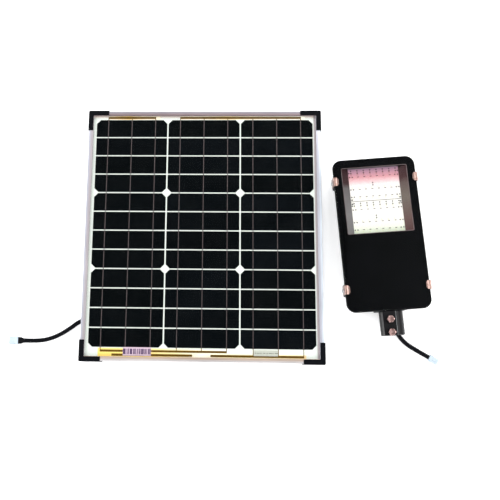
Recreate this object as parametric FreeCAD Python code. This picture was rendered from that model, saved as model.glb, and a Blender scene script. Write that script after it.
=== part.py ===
import FreeCAD, Part
import math
import os

# A solar street lamp as it is delivered: a framed solar panel and a lamp head, lying face up
# side by side on a flat surface. Each has a short twin lead with a two-pole plug, and the head
# has a socket for a pole. Millimetres, +Z up, the surface at z = 0, +Y towards the tops of both.
# The origin is under the middle of everything but the two leads and their plugs.

V = FreeCAD.Vector
SLIP = 0.05  # clearance between pieces that move on each other
FIT = 0.1  # clearance between pieces that are put together once
THROUGH = 1.0  # how far a cutting tool runs past the piece that it cuts

# ---- solar cells: square cells cut into four strips, so that only every fourth has corners ----
CELL_W, CELL_H = 156.0, 39.0
COLUMNS, ROWS, STRIPS_PER_CELL = 3, 12, 4
COLUMN_GAP, ROW_GAP = 3.0, 2.5
CELL_CORNER = 8.5
SIDE_MARGIN, TOP_MARGIN, BOTTOM_MARGIN = 16.0, 18.0, 28.5  # from the cells to the frame's edge
RIBBONS_PER_CELL, RIBBON_W, BUS_W = 3, 1.6, 2.8
BUS_UP, BUS_DOWN = 5.0, (7.5, 15.5)  # the bus ribbons' middles, from the cells
LABEL_DOWN = 8.5

# ---- the panel's layers, from the back ----
BACKSHEET_T, REAR_FILM_T, CELL_T, RIBBON_T = 0.3, 0.3, 0.2, 0.2
LABEL_T, FRONT_FILM_T, GLASS_T = 0.1, 0.3, 3.2
TAPE_T, TAPE_EDGE, TAPE_OVER = 0.1, 4.0, 10.0
SEAL_T = 0.15  # the edge seal over and under the layers

# ---- frame section: a wall, a lip over the glass, a shelf, a key chamber and a rear flange ----
RAIL_H, RAIL_WALL, LIP_W, LIP_T = 25.0, 1.4, 9.5, 1.6
CHAMBER_W, FLANGE_W = 11.0, 25.0
GROOVE_PLAY = 1.0  # room for the glass to grow
KEY_ARM = 30.0
CAP_ARM, CAP_T, CAP_LIP_W, CAP_TOP_T, CAP_FOOT = 45.0, 2.0, 9.0, 1.5, 9.0
CAP_ROUND = 3.0
MOUNT_HOLE_R, MOUNT_HOLE_IN, MOUNT_HOLE_PITCH = 3.5, 18.0, 300.0

# ---- junction box behind the panel's bottom edge ----
JBOX_W, JBOX_L, JBOX_H, JBOX_WALL, JBOX_LID_T, JBOX_SEAL_T = 76.0, 44.0, 15.0, 2.0, 2.0, 1.0
JBOX_GAP = 3.0  # from the rear flange
JBOX_ROUND = 4.0
JBOX_GLAND_UP = 7.9  # from the lid's face to the gland's axis

# ---- leads and plugs ----
LEAD_D = 7.6
LEAD_Z = 4.2
PLUG_Z = 5.2
SHELL_L, SHELL_W, SHELL_H, SHELL_WALL, SHELL_DEPTH = 19.5, 16.5, 10.0, 1.7, 11.0
PLUG_L, PLUG_PLAY, PLUG_LATCH_T = 19.0, 0.3, 1.2
PIN_R, PIN_SPACING, PIN_L = 1.0, 6.4, 8.5
BOOT_L, BOOT_W = 13.5, 14.0

# ---- lamp head, in its own frame: origin on the surface under the middle, +Y to its top ----
LAMP_GAP, LAMP_Y, LAMP_TURN = 27.0, -4.0, 4.5  # from the panel's cap, its middle, degrees
HEAD_W, HEAD_L, HEAD_ROUND = 172.0, 320.0, 19.0
FIN_H, FIN_T, FIN_COUNT = 10.0, 3.0, 9
HEAD_RIM_Z = 68.0
HEAD_TAPER = 12.0  # how much smaller the back is than the front, each side
HEAD_WALL = 3.0
RIM_W, RIM_H = 9.0, 8.0
GASKET_T, GASKET_W, PRINT_T = 1.9, 6.0, 0.1
LAMP_GLASS_T, LAMP_GLASS_IN = 4.0, 1.5
WINDOW_W, WINDOW_L, WINDOW_Y, WINDOW_ROUND = 136.5, 141.5, 71.0, 3.0

# ---- what the lamp head holds ----
LED_PLATE_Z, LED_PLATE_T, BOARD_T = 56.0, 2.0, 1.6
LED_BOARD_W, LED_BOARD_L = 105.0, 70.0
LED_COLUMNS, LED_PITCH, LED_ROWS = 8, 13.3, (12.5, 41.0, 64.0)  # rows down from a board's top
LED_W, LED_L, LED_H = 2.8, 3.5, 0.8
REFLECTOR_T = 0.8
POST_W, POST_IN, POST_OUT = 8.0, 3.0, 8.0  # a post's width, and its reach either side of its screw
BATTERY_R, BATTERY_L, BATTERY_BETWEEN, TRAY_SIDE = 16.25, 70.0, 0.3, 1.2
TRAY_FLOOR, TRAY_H, BATTERY_GAP, LINK_T = 1.0, 11.0, 1.0, 0.3
STRAP_W, STRAP_T = 16.0, 1.5
CONTROL_W, CONTROL_L, CONTROL_UP = 96.0, 46.0, 8.0
CONTROL_GAP = 29.0  # from the head's end to the controller board
WIRE_R = 1.2
M3_R, M3_HEAD_R, M3_HEAD_H, M3_L = 1.5, 2.75, 1.8, 8.0

# ---- pole socket, with two clamp bolts through a pad on its front ----
BORE_R, SOCKET_WALL, SOCKET_L, SOCKET_END = 20.0, 3.75, 49.0, 8.0
SOCKET_X, SOCKET_LOW = 5.5, 22.25  # its lowest line stays clear over the lamp's lead
PAD_W, PAD_UP = 27.0, 2.25  # the pad stands proud of the tube
BOLT_X, BOLT_R, BOLT_HEAD_AF, BOLT_HEAD_H, BOLT_LIFT = -3.0, 4.0, 13.0, 5.3, 4.0
BOLT_FIRST, BOLT_PITCH = 17.0, 26.0  # down from the head's end
BOSS_T, BOSS_SIDE = 13.0, 6.0
SOCKET_SCREW_R, SOCKET_SCREW_RING, SOCKET_SCREW_BITE = 2.5, 14.0, 6.0

# ---- the gland that the lamp's lead leaves by, low on the head's end ----
GLAND_X, GLAND_Z, GLAND_AF, GLAND_NUT, GLAND_THREAD_R = 17.0, 17.5, 12.0, 5.0, 4.9
GLAND_BOSS_OUT, GLAND_BOSS_IN, GLAND_BOSS_W = 6.0, 19.5, 18.0  # its faces, from the head's end

# ---- spring clips that hold the lamp's glass down ----
CLIP_Y, CLIP_L, CLIP_REACH, CLIP_T, CLIP_LEG, CLIP_TIP = 113.0, 18.0, 9.5, 1.2, 25.0, 4.0
CLIP_GROOVE_W, CLIP_GROOVE_T = 2.0, 0.5
LUG_W, LUG_T, LUG_H = 26.0, 10.0, 24.0
CLIP_SCREW_R, CLIP_SCREW_L, CLIP_SCREW_DOWN = 2.0, 8.0, 19.0
CLIP_HEAD_R, CLIP_HEAD_H = 3.6, 2.4

# ---- worked out from the sizes above ----
GRID_W = COLUMNS * CELL_W + (COLUMNS - 1) * COLUMN_GAP
GRID_L = ROWS * CELL_H + (ROWS - 1) * ROW_GAP
FRAME_W = GRID_W + 2 * SIDE_MARGIN
FRAME_L = GRID_L + TOP_MARGIN + BOTTOM_MARGIN
GRID_LEFT, GRID_TOP = -GRID_W / 2, FRAME_L / 2 - TOP_MARGIN
GRID_BOTTOM = GRID_TOP - GRID_L
FRAME_Z = CAP_FOOT
RAIL_TOP = FRAME_Z + RAIL_H
LAYERS_T = BACKSHEET_T + REAR_FILM_T + CELL_T + RIBBON_T + LABEL_T + FRONT_FILM_T + GLASS_T
GROOVE_TOP = RAIL_TOP - LIP_T
BACKSHEET_Z = GROOVE_TOP - FIT / 2 - SEAL_T - LAYERS_T
REAR_FILM_Z = BACKSHEET_Z + BACKSHEET_T
CELL_Z = REAR_FILM_Z + REAR_FILM_T
RIBBON_Z = CELL_Z + CELL_T
LABEL_Z = RIBBON_Z + RIBBON_T
FRONT_FILM_Z = LABEL_Z + LABEL_T
GLASS_Z = FRONT_FILM_Z + FRONT_FILM_T
SHELF_TOP = BACKSHEET_Z - SEAL_T - FIT / 2
JBOX_Y = -FRAME_L / 2 + FLANGE_W + JBOX_GAP + JBOX_L / 2
JBOX_LOW = BACKSHEET_Z - JBOX_H
JBOX_GLAND_Z = JBOX_LOW + JBOX_GLAND_UP
BORE_W, BORE_H = SHELL_W - 2 * SHELL_WALL, SHELL_H - 2 * SHELL_WALL  # inside the plug's shell

GLASS_LOW = HEAD_RIM_Z + GASKET_T + PRINT_T
GLASS_TOP = GLASS_LOW + LAMP_GLASS_T
FLOOR_TOP = FIN_H + HEAD_WALL
SOCKET_R = BORE_R + SOCKET_WALL
SOCKET_Z = SOCKET_LOW + SOCKET_R
PAD_TOP = SOCKET_Z + SOCKET_R + PAD_UP
LAMP_X = FRAME_W / 2 + CAP_T + LAMP_GAP + HEAD_W / 2
SOCKET_Y = -HEAD_L / 2
LED_FACE = LED_PLATE_Z + LED_PLATE_T + BOARD_T
CONTROL_Y = SOCKET_Y + CONTROL_GAP + CONTROL_L / 2
BATTERY_PITCH = 2 * BATTERY_R + BATTERY_BETWEEN
TRAY_SPACE = HEAD_W / 2 - HEAD_TAPER - HEAD_WALL - TRAY_SIDE - STRAP_T - 4 * FIT
BATTERY_COLUMNS = int(2 * TRAY_SPACE / BATTERY_PITCH)
GLAND_END = SOCKET_Y + GLAND_BOSS_IN + 1.0  # where its thread ends inside the head

# The leads' routes. The panel's starts at its gland, dips to the surface and leaves under the
# left rail, and the lamp's starts at its gland. Each is in the frame of its own unit.
DIP, EDGE = JBOX_GLAND_Z - LEAD_Z, -FRAME_W / 2
PANEL_ROUTE = [(x, JBOX_Y + across, z) for x, across, z in [
    (-50.0, 0.0, JBOX_GLAND_Z), (-78.0, 2.0, LEAD_Z + 0.755 * DIP),
    (-107.0, 7.0, LEAD_Z + 0.264 * DIP), (-141.0, 18.0, LEAD_Z), (-180.0, 33.0, LEAD_Z),
    (EDGE + 31.0, 40.0, LEAD_Z), (EDGE - 6.0, 32.0, LEAD_Z), (EDGE - 29.5, 16.0, LEAD_Z),
    (EDGE - 53.0, 1.5, LEAD_Z), (EDGE - 77.0, -7.5, LEAD_Z), (EDGE - 101.5, -10.5, 4.4),
    (EDGE - 124.0, -10.0, PLUG_Z),
]]
LAMP_ROUTE = [(GLAND_X + across, SOCKET_Y - down, z) for across, down, z in [
    (0.0, 8.0, GLAND_Z), (0.3, 23.0, 15.5), (3.5, 38.0, 9.5), (11.5, 52.5, 4.6),
    (24.0, 68.0, 4.4), (45.5, 83.7, 4.4), (66.4, 97.9, PLUG_Z),
]]


def box(x0, x1, y0, y1, z0, z1):
    """A block between two corners, given in any order."""
    x, y, z = min(x0, x1), min(y0, y1), min(z0, z1)
    return Part.makeBox(abs(x1 - x0), abs(y1 - y0), abs(z1 - z0), V(x, y, z))


def rod(start, direction, length, radius):
    return Part.makeCylinder(radius, length, V(*start), V(*direction))


def prism(points, height, direction):
    """A polygon, given as 3-D points, pushed along direction."""
    wire = Part.makePolygon([V(*p) for p in points] + [V(*points[0])])
    return Part.Face(wire).extrude(V(*direction) * height)


def hexagon(start, direction, across_flats, height):
    """A hexagonal prism standing on start."""
    radius = across_flats / math.sqrt(3)
    corners = [(radius * math.cos(math.pi * k / 3), radius * math.sin(math.pi * k / 3), 0)
               for k in range(6)]
    solid = prism(corners, height, (0, 0, 1))
    turn = FreeCAD.Rotation(V(0, 0, 1), V(*direction))
    solid.Placement = FreeCAD.Placement(V(*start), turn)
    return solid


def rounded_wire(width, length, radius, z, middle=(0, 0)):
    """A rounded rectangle at height z, as four lines and four arcs."""
    cx, cy = middle
    hw, hl = width / 2, length / 2
    radius = min(radius, 0.98 * hw, 0.98 * hl)
    edges = []
    corners = [(1, -1, -90), (1, 1, 0), (-1, 1, 90), (-1, -1, 180)]
    arcs = []
    for sx, sy, start in corners:
        centre = V(cx + sx * (hw - radius), cy + sy * (hl - radius), z)
        arc_points = []
        for angle in (start, start + 45, start + 90):
            a = math.radians(angle)
            arc_points.append(centre + V(radius * math.cos(a), radius * math.sin(a), 0))
        arcs.append(arc_points)
    for k, points in enumerate(arcs):
        edges.append(Part.Arc(*points).toShape())
        edges.append(Part.makeLine(points[2], arcs[(k + 1) % 4][0]))
    return Part.Wire(edges)


def slab(width, length, radius, z0, z1, middle=(0, 0)):
    """A plate with rounded corners."""
    return Part.Face(rounded_wire(width, length, radius, z0, middle)).extrude(V(0, 0, z1 - z0))


def ring(width, length, radius, band, z0, z1, middle=(0, 0)):
    """A frame of the given band width along the edge of a rounded rectangle."""
    hole = slab(width - 2 * band, length - 2 * band, max(radius - band, 0.5), z0 - THROUGH,
                z1 + THROUGH, middle)
    return slab(width, length, radius, z0, z1, middle).cut(hole)


def fused(shapes):
    whole = shapes[0].multiFuse(shapes[1:]) if len(shapes) > 1 else shapes[0]
    return whole.removeSplitter()


def group(shapes):
    """Separate solids that share one node."""
    return Part.makeCompound(shapes)


def tube(route, radius):
    """A round cord along straight runs joined by tangent arcs. Returns it and its length."""
    points = [V(*p) for p in route]
    edges, at, length, radii = [], points[0], 0.0, []
    for before, corner, after in zip(points, points[1:], points[2:]):
        towards, away = (before - corner), (after - corner)
        reach = 0.45 * min(towards.Length, away.Length)
        towards.normalize()
        away.normalize()
        turn = math.pi - towards.getAngle(away)
        bend = reach / math.tan(turn / 2)
        enter, leave = corner + towards * reach, corner + away * reach
        inward = (towards + away).normalize()
        middle = corner + inward * (bend / math.cos(turn / 2) - bend)
        edges += [Part.makeLine(at, enter), Part.Arc(enter, middle, leave).toShape()]
        length += (enter - at).Length + bend * turn
        radii.append(bend)
        at = leave
    edges.append(Part.makeLine(at, points[-1]))
    length += (points[-1] - at).Length
    path = Part.Wire(edges)
    profile = Part.Wire([Part.makeCircle(radius, points[0], points[1] - points[0])])
    solid = path.makePipeShell([profile], True, False)
    print("cord length %.1f, volume ratio %.4f, bend radii" %
          (length, solid.Volume / (math.pi * radius ** 2 * length)), [round(r) for r in radii])
    return solid


# ---------------------------------------------------------------- the panel


def rail(along_x, side):
    """One frame rail with mitred ends. side is +1 at the top or right and -1 at the other."""
    z0, top, wall = FRAME_Z, RAIL_TOP, RAIL_WALL
    outline = [(0, z0), (FLANGE_W, z0), (FLANGE_W, z0 + wall), (CHAMBER_W, z0 + wall),
               (CHAMBER_W, SHELF_TOP), (wall, SHELF_TOP), (wall, GROOVE_TOP), (LIP_W, GROOVE_TOP),
               (LIP_W, top), (0, top)]
    chamber = [(wall, z0 + wall), (CHAMBER_W - wall, z0 + wall),
               (CHAMBER_W - wall, SHELF_TOP - wall), (wall, SHELF_TOP - wall)]
    half, run = (FRAME_L / 2, FRAME_W) if along_x else (FRAME_W / 2, FRAME_L)

    def swept(section):
        if along_x:
            points = [(-run / 2, side * (half - u), z) for u, z in section]
            return prism(points, run, (1, 0, 0))
        points = [(side * (half - u), -run / 2, z) for u, z in section]
        return prism(points, run, (0, 1, 0))

    deep = FLANGE_W + THROUGH
    outer, inner = side * half, side * (half - deep)
    if along_x:
        mitre = [(-run / 2, outer), (run / 2, outer), (run / 2 - deep, inner),
                 (-run / 2 + deep, inner)]
    else:
        mitre = [(outer, -run / 2), (outer, run / 2), (inner, run / 2 - deep),
                 (inner, -run / 2 + deep)]
    wedge = prism([(x, y, z0 - THROUGH) for x, y in mitre], RAIL_H + 2 * THROUGH, (0, 0, 1))
    solid = swept(outline).cut(swept(chamber)).common(wedge)
    if not along_x:
        for y in (-MOUNT_HOLE_PITCH / 2, MOUNT_HOLE_PITCH / 2):
            start = (side * (half - MOUNT_HOLE_IN), y, z0 - THROUGH)
            solid = solid.cut(rod(start, (0, 0, 1), RAIL_WALL + 2 * THROUGH, MOUNT_HOLE_R))
    return solid


def corner_key(sx, sy):
    """An L that joins two rails inside their chambers."""
    near, far = RAIL_WALL + FIT, CHAMBER_W - RAIL_WALL - FIT
    z0, z1 = FRAME_Z + RAIL_WALL + FIT, SHELF_TOP - RAIL_WALL - FIT
    x, y = FRAME_W / 2, FRAME_L / 2
    arms = [box(sx * (x - near), sx * (x - KEY_ARM), sy * (y - near), sy * (y - far), z0, z1),
            box(sx * (x - near), sx * (x - far), sy * (y - near), sy * (y - KEY_ARM), z0, z1)]
    return fused(arms)


def corner_cap(sx, sy):
    """A moulded cap round one corner of the frame, with a foot under it."""
    x, y = FRAME_W / 2, FRAME_L / 2
    top = RAIL_TOP + CAP_TOP_T
    arms = [box(sx * (x + CAP_T), sx * (x + CAP_T - CAP_ARM), sy * (y + CAP_T),
                sy * (y - CAP_LIP_W), 0, top),
            box(sx * (x + CAP_T), sx * (x - CAP_LIP_W), sy * (y + CAP_T),
                sy * (y + CAP_T - CAP_ARM), 0, top)]
    body = fused(arms)
    corner = [e for e in body.Edges
              if all(abs(v.X - sx * (x + CAP_T)) < 0.01 and abs(v.Y - sy * (y + CAP_T)) < 0.01
                     for v in e.Vertexes)]
    body = body.makeFillet(CAP_ROUND, corner)
    return body.cut(box(0, sx * x, 0, sy * y, FRAME_Z, RAIL_TOP))


def cell(column, row):
    """One cell strip. The first and last strips of a cut cell keep its two outer corners."""
    x0 = GRID_LEFT + column * (CELL_W + COLUMN_GAP)
    y1 = GRID_TOP - row * (CELL_H + ROW_GAP)
    x1, y0 = x0 + CELL_W, y1 - CELL_H
    top = CELL_CORNER if row % STRIPS_PER_CELL == 0 else 0
    low = CELL_CORNER if row % STRIPS_PER_CELL == STRIPS_PER_CELL - 1 else 0
    points = [(x0 + low, y0), (x1 - low, y0)]
    points += [(x1, y0 + low)] if low else []
    points += [(x1, y1 - top), (x1 - top, y1)] if top else [(x1, y1)]
    points += [(x0 + top, y1), (x0, y1 - top)] if top else [(x0, y1)]
    points += [(x0, y0 + low)] if low else []
    return prism([(x, y, CELL_Z) for x, y in points], CELL_T, (0, 0, 1))


def ribbon_x(column, number):
    """Where a ribbon crosses the cells of a column, counted from the left."""
    share = (number + 0.5) / RIBBONS_PER_CELL
    return GRID_LEFT + column * (CELL_W + COLUMN_GAP) + share * CELL_W


def bus_rows():
    """The heights of the top bus ribbon and of the two bottom ones, at their middles."""
    return GRID_TOP + BUS_UP, GRID_BOTTOM - BUS_DOWN[0], GRID_BOTTOM - BUS_DOWN[1]


def ribbons():
    top, first, second = bus_rows()
    low_end = [first, first, second]
    strips = []
    for column in range(COLUMNS):
        low = low_end[min(column, 2)]
        for number in range(RIBBONS_PER_CELL):
            x = ribbon_x(column, number)
            strips.append(box(x - RIBBON_W / 2, x + RIBBON_W / 2, low + BUS_W / 2,
                              top - BUS_W / 2, RIBBON_Z, RIBBON_Z + RIBBON_T))
    return group(strips)


def bus_ribbons():
    """The wide ribbons that join the columns and lead to the junction box."""
    top, first, second = bus_rows()
    last, over = RIBBONS_PER_CELL - 1, RIBBON_W / 2
    jbox_tail = JBOX_W / 4
    runs = [(ribbon_x(0, 0) - over, ribbon_x(0, last) + over, top),
            (ribbon_x(1, 0) - over, ribbon_x(COLUMNS - 1, last) + over, top),
            (ribbon_x(0, 0) - over, ribbon_x(1, last) + over, first),
            (ribbon_x(0, 0) + over, -jbox_tail, second),
            (jbox_tail, ribbon_x(COLUMNS - 1, last) + over, second)]
    return group([box(x0, x1, y - BUS_W / 2, y + BUS_W / 2, RIBBON_Z, RIBBON_Z + RIBBON_T)
                  for x0, x1, y in runs])


def tape():
    """Insulating tape behind the bus ribbons."""
    top, first, second = bus_rows()
    z1 = RIBBON_Z
    last, over = RIBBONS_PER_CELL - 1, TAPE_OVER
    return group([box(x0, x1, y0, y1, z1 - TAPE_T, z1) for x0, x1, y0, y1 in [
        (ribbon_x(0, 0) - over / 2, ribbon_x(COLUMNS - 1, last) + over / 2, second - TAPE_EDGE,
         first + 1.4 * TAPE_EDGE),
        (ribbon_x(0, 0), ribbon_x(0, last) + over, top - TAPE_EDGE, top + TAPE_EDGE),
        (ribbon_x(1, 0), ribbon_x(COLUMNS - 1, last) + over, top - TAPE_EDGE, top + TAPE_EDGE)]])


def labels():
    """Two blank stickers over the bottom ribbons, under the glass."""
    wide, narrow = (59.0, 17.5), (50.0, 12.0)
    y = GRID_BOTTOM - LABEL_DOWN
    left, right = ribbon_x(0, 1) + 25.0, (ribbon_x(2, 0) + ribbon_x(2, 1)) / 2
    return group([box(left - wide[0] / 2, left + wide[0] / 2, y - wide[1] / 2, y + wide[1] / 2,
                      LABEL_Z, LABEL_Z + LABEL_T),
                  box(right - narrow[0] / 2, right + narrow[0] / 2, y - narrow[1] / 2,
                      y + narrow[1] / 2, LABEL_Z, LABEL_Z + LABEL_T)])


def sheet(z, thickness):
    """A layer of the panel that reaches into the frame's groove."""
    inside = 2 * (RAIL_WALL + GROOVE_PLAY)
    w, l = (FRAME_W - inside) / 2, (FRAME_L - inside) / 2
    return box(-w, w, -l, l, z, z + thickness)


def edge_seal():
    """A soft U round the edge of the layers, in the groove."""
    x, y = FRAME_W / 2 - RAIL_WALL - FIT, FRAME_L / 2 - RAIL_WALL - FIT
    z0, z1 = BACKSHEET_Z - SEAL_T, GLASS_Z + GLASS_T + SEAL_T
    hold = LIP_W - RAIL_WALL - 2 * FIT
    whole = box(-x, x, -y, y, z0, z1)
    opening = box(-x + hold, x - hold, -y + hold, y - hold, z0 - THROUGH, z1 + THROUGH)
    return whole.cut(opening).cut(sheet(BACKSHEET_Z, LAYERS_T))


def junction_box():
    """The box glued behind the panel, open to the rear, with its seal, lid and contents."""
    middle = (0, JBOX_Y)
    lid_top = JBOX_LOW + JBOX_LID_T
    seal_top = lid_top + JBOX_SEAL_T
    body = slab(JBOX_W, JBOX_L, JBOX_ROUND, seal_top, BACKSHEET_Z, middle)
    hollow = slab(JBOX_W - 2 * JBOX_WALL, JBOX_L - 2 * JBOX_WALL, JBOX_ROUND / 2,
                  seal_top - THROUGH, BACKSHEET_Z - JBOX_WALL, middle)
    gland_x, gland_y, gland_z = PANEL_ROUTE[0]
    wall_x = -JBOX_W / 2
    thread = rod((wall_x - THROUGH, gland_y, gland_z), (1, 0, 0), JBOX_WALL + 2 * THROUGH,
                 LEAD_D / 2 + FIT)
    base = body.cut(hollow).cut(thread)
    gland = fused([hexagon((wall_x, gland_y, gland_z), (-1, 0, 0), LEAD_D + 3.4, 4.0),
                   rod((wall_x, gland_y, gland_z), (-1, 0, 0), wall_x - gland_x, LEAD_D / 2 + 0.9),
                   rod((wall_x, gland_y, gland_z), (1, 0, 0), JBOX_WALL + 2.0, LEAD_D / 2)])
    roof = BACKSHEET_Z - JBOX_WALL
    blocks = [box(x - 5, x + 5, JBOX_Y - 9, JBOX_Y + 9, roof - 5.0, roof)
              for x in (-JBOX_W / 4, JBOX_W / 4)]
    diode = fused([rod((-6, JBOX_Y, roof - 3.2), (1, 0, 0), 12, 2.7),
                   rod((-JBOX_W / 4 + 5, JBOX_Y, roof - 3.2), (1, 0, 0), JBOX_W / 2 - 10, 0.6)])
    return {
        "junction_box_base": base,
        "junction_box_gasket": ring(JBOX_W, JBOX_L, JBOX_ROUND, JBOX_WALL, lid_top, seal_top,
                                    middle),
        "junction_box_lid": slab(JBOX_W, JBOX_L, JBOX_ROUND, JBOX_LOW, lid_top, middle),
        "junction_box_terminals": group(blocks),
        "bypass_diode": diode,
        "junction_box_gland": gland,
    }


def turned_to(shape, start, heading):
    """Puts a shape that was made along +X from the origin at start, turned to heading."""
    shape = shape.copy()
    shape.rotate(V(0, 0, 0), V(0, 0, 1), heading)
    shape.translate(V(*start))
    return shape


def panel_plug():
    """The socket half of the plug pair: a boot, a shell with a square mouth and two pins."""
    start, heading = PANEL_ROUTE[-1], 180.0
    small = Part.makePolygon([V(0, a, b) for a, b in
                              ((-4.6, -4.4), (4.6, -4.4), (4.6, 4.4), (-4.6, 4.4), (-4.6, -4.4))])
    w, h = BOOT_W / 2, SHELL_H / 2 - 0.4
    large = Part.makePolygon([V(BOOT_L, a, b) for a, b in
                              ((-w, -h), (w, -h), (w, h), (-w, h), (-w, -h))])
    boot = Part.makeLoft([small, large], True, True)
    shell = slab(SHELL_W, SHELL_H, 2.0, BOOT_L, BOOT_L + SHELL_L)
    mouth = slab(BORE_W, BORE_H, 1.0, BOOT_L + SHELL_L - SHELL_DEPTH, BOOT_L + SHELL_L + THROUGH)
    floor = BOOT_L + SHELL_L - SHELL_DEPTH
    pins = [rod((y, 0, floor), (0, 0, 1), PIN_L, PIN_R)
            for y in (-PIN_SPACING / 2, PIN_SPACING / 2)]

    def along_x(shape):
        """Lays down along +X a shape made up along +Z, keeping its width along Y."""
        shape = shape.copy()
        shape.rotate(V(0, 0, 0), V(0, 0, 1), 90)
        shape.rotate(V(0, 0, 0), V(0, 1, 0), 90)
        return shape

    return {
        "panel_lead_boot": turned_to(boot, start, heading),
        "panel_connector": turned_to(along_x(shell.cut(mouth)), start, heading),
        "panel_connector_pins": turned_to(group([along_x(p) for p in pins]), start, heading),
    }


def lamp_plug():
    """The plug half, sized from the mouth that it goes in, with a latch and two contact holes."""
    w, h = BORE_W - PLUG_PLAY, BORE_H - PLUG_PLAY
    tail = 0.35 * PLUG_L
    body = fused([box(0, PLUG_L, -w / 2, w / 2, -h / 2, h / 2),
                  box(0, tail, -w / 2 - 0.8, w / 2 + 0.8, -h / 2 - 0.8, h / 2 + 0.8),
                  box(tail, 0.75 * PLUG_L, -2.2, 2.2, h / 2, h / 2 + PLUG_LATCH_T)])
    for y in (-PIN_SPACING / 2, PIN_SPACING / 2):
        body = body.cut(rod((PLUG_L - PIN_L - 1, y, 0), (1, 0, 0), PIN_L + 2, PIN_R + 0.15))
    before, end = LAMP_ROUTE[-2], LAMP_ROUTE[-1]
    heading = math.degrees(math.atan2(end[1] - before[1], end[0] - before[0]))
    return {"lamp_connector": turned_to(body, end, heading)}


def panel():
    parts = {
        "frame_rail_top": rail(True, 1),
        "frame_rail_bottom": rail(True, -1),
        "frame_rail_left": rail(False, -1),
        "frame_rail_right": rail(False, 1),
        "frame_corner_keys": group([corner_key(sx, sy) for sx in (-1, 1) for sy in (-1, 1)]),
        "frame_corner_caps": group([corner_cap(sx, sy) for sx in (-1, 1) for sy in (-1, 1)]),
        "panel_backsheet": sheet(BACKSHEET_Z, BACKSHEET_T),
        "panel_rear_film": sheet(REAR_FILM_Z, REAR_FILM_T),
        "solar_cells": group([cell(c, r) for c in range(COLUMNS) for r in range(ROWS)]),
        "cell_ribbons": ribbons(),
        "bus_ribbons": bus_ribbons(),
        "insulating_tape": tape(),
        "panel_labels": labels(),
        "panel_front_film": sheet(FRONT_FILM_Z, FRONT_FILM_T),
        "panel_glass": sheet(GLASS_Z, GLASS_T),
        "panel_edge_seal": edge_seal(),
        "panel_lead": tube(PANEL_ROUTE, LEAD_D / 2),
    }
    parts.update(junction_box())
    parts.update(panel_plug())
    return parts


# ---------------------------------------------------------------- the lamp head


def inset(z):
    """How far the head's outer wall stands in from its front outline at height z."""
    return HEAD_TAPER * (HEAD_RIM_Z - z) / (HEAD_RIM_Z - FIN_H)


def tapered(z0, z1, extra):
    """The head's outline between two heights, smaller by extra on every side."""
    wires = []
    for z in (z0, z1):
        less = inset(z) + extra
        wires.append(rounded_wire(HEAD_W - 2 * less, HEAD_L - 2 * less,
                                  max(HEAD_ROUND - 0.5 * less, 3.0), z))
    return Part.makeLoft(wires, True, True)


def post_places():
    """Where the LED plate stands on the housing's posts: x, y."""
    x, reach = HEAD_W / 2 - RIM_W - 5, WINDOW_L / 2 - 10
    return [(side * x, WINDOW_Y + k * reach) for side in (-1, 1) for k in (-1, 0, 1)]


def control_posts():
    return [(sx * (CONTROL_W / 2 - 4), CONTROL_Y + sy * (CONTROL_L / 2 - 4))
            for sx in (-1, 1) for sy in (-1, 1)]


def socket_screw_places():
    reach = SOCKET_SCREW_RING / math.sqrt(2)
    return [(SOCKET_X + sx * reach, SOCKET_Z + sz * reach) for sx in (-1, 1) for sz in (-1, 1)]


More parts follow.
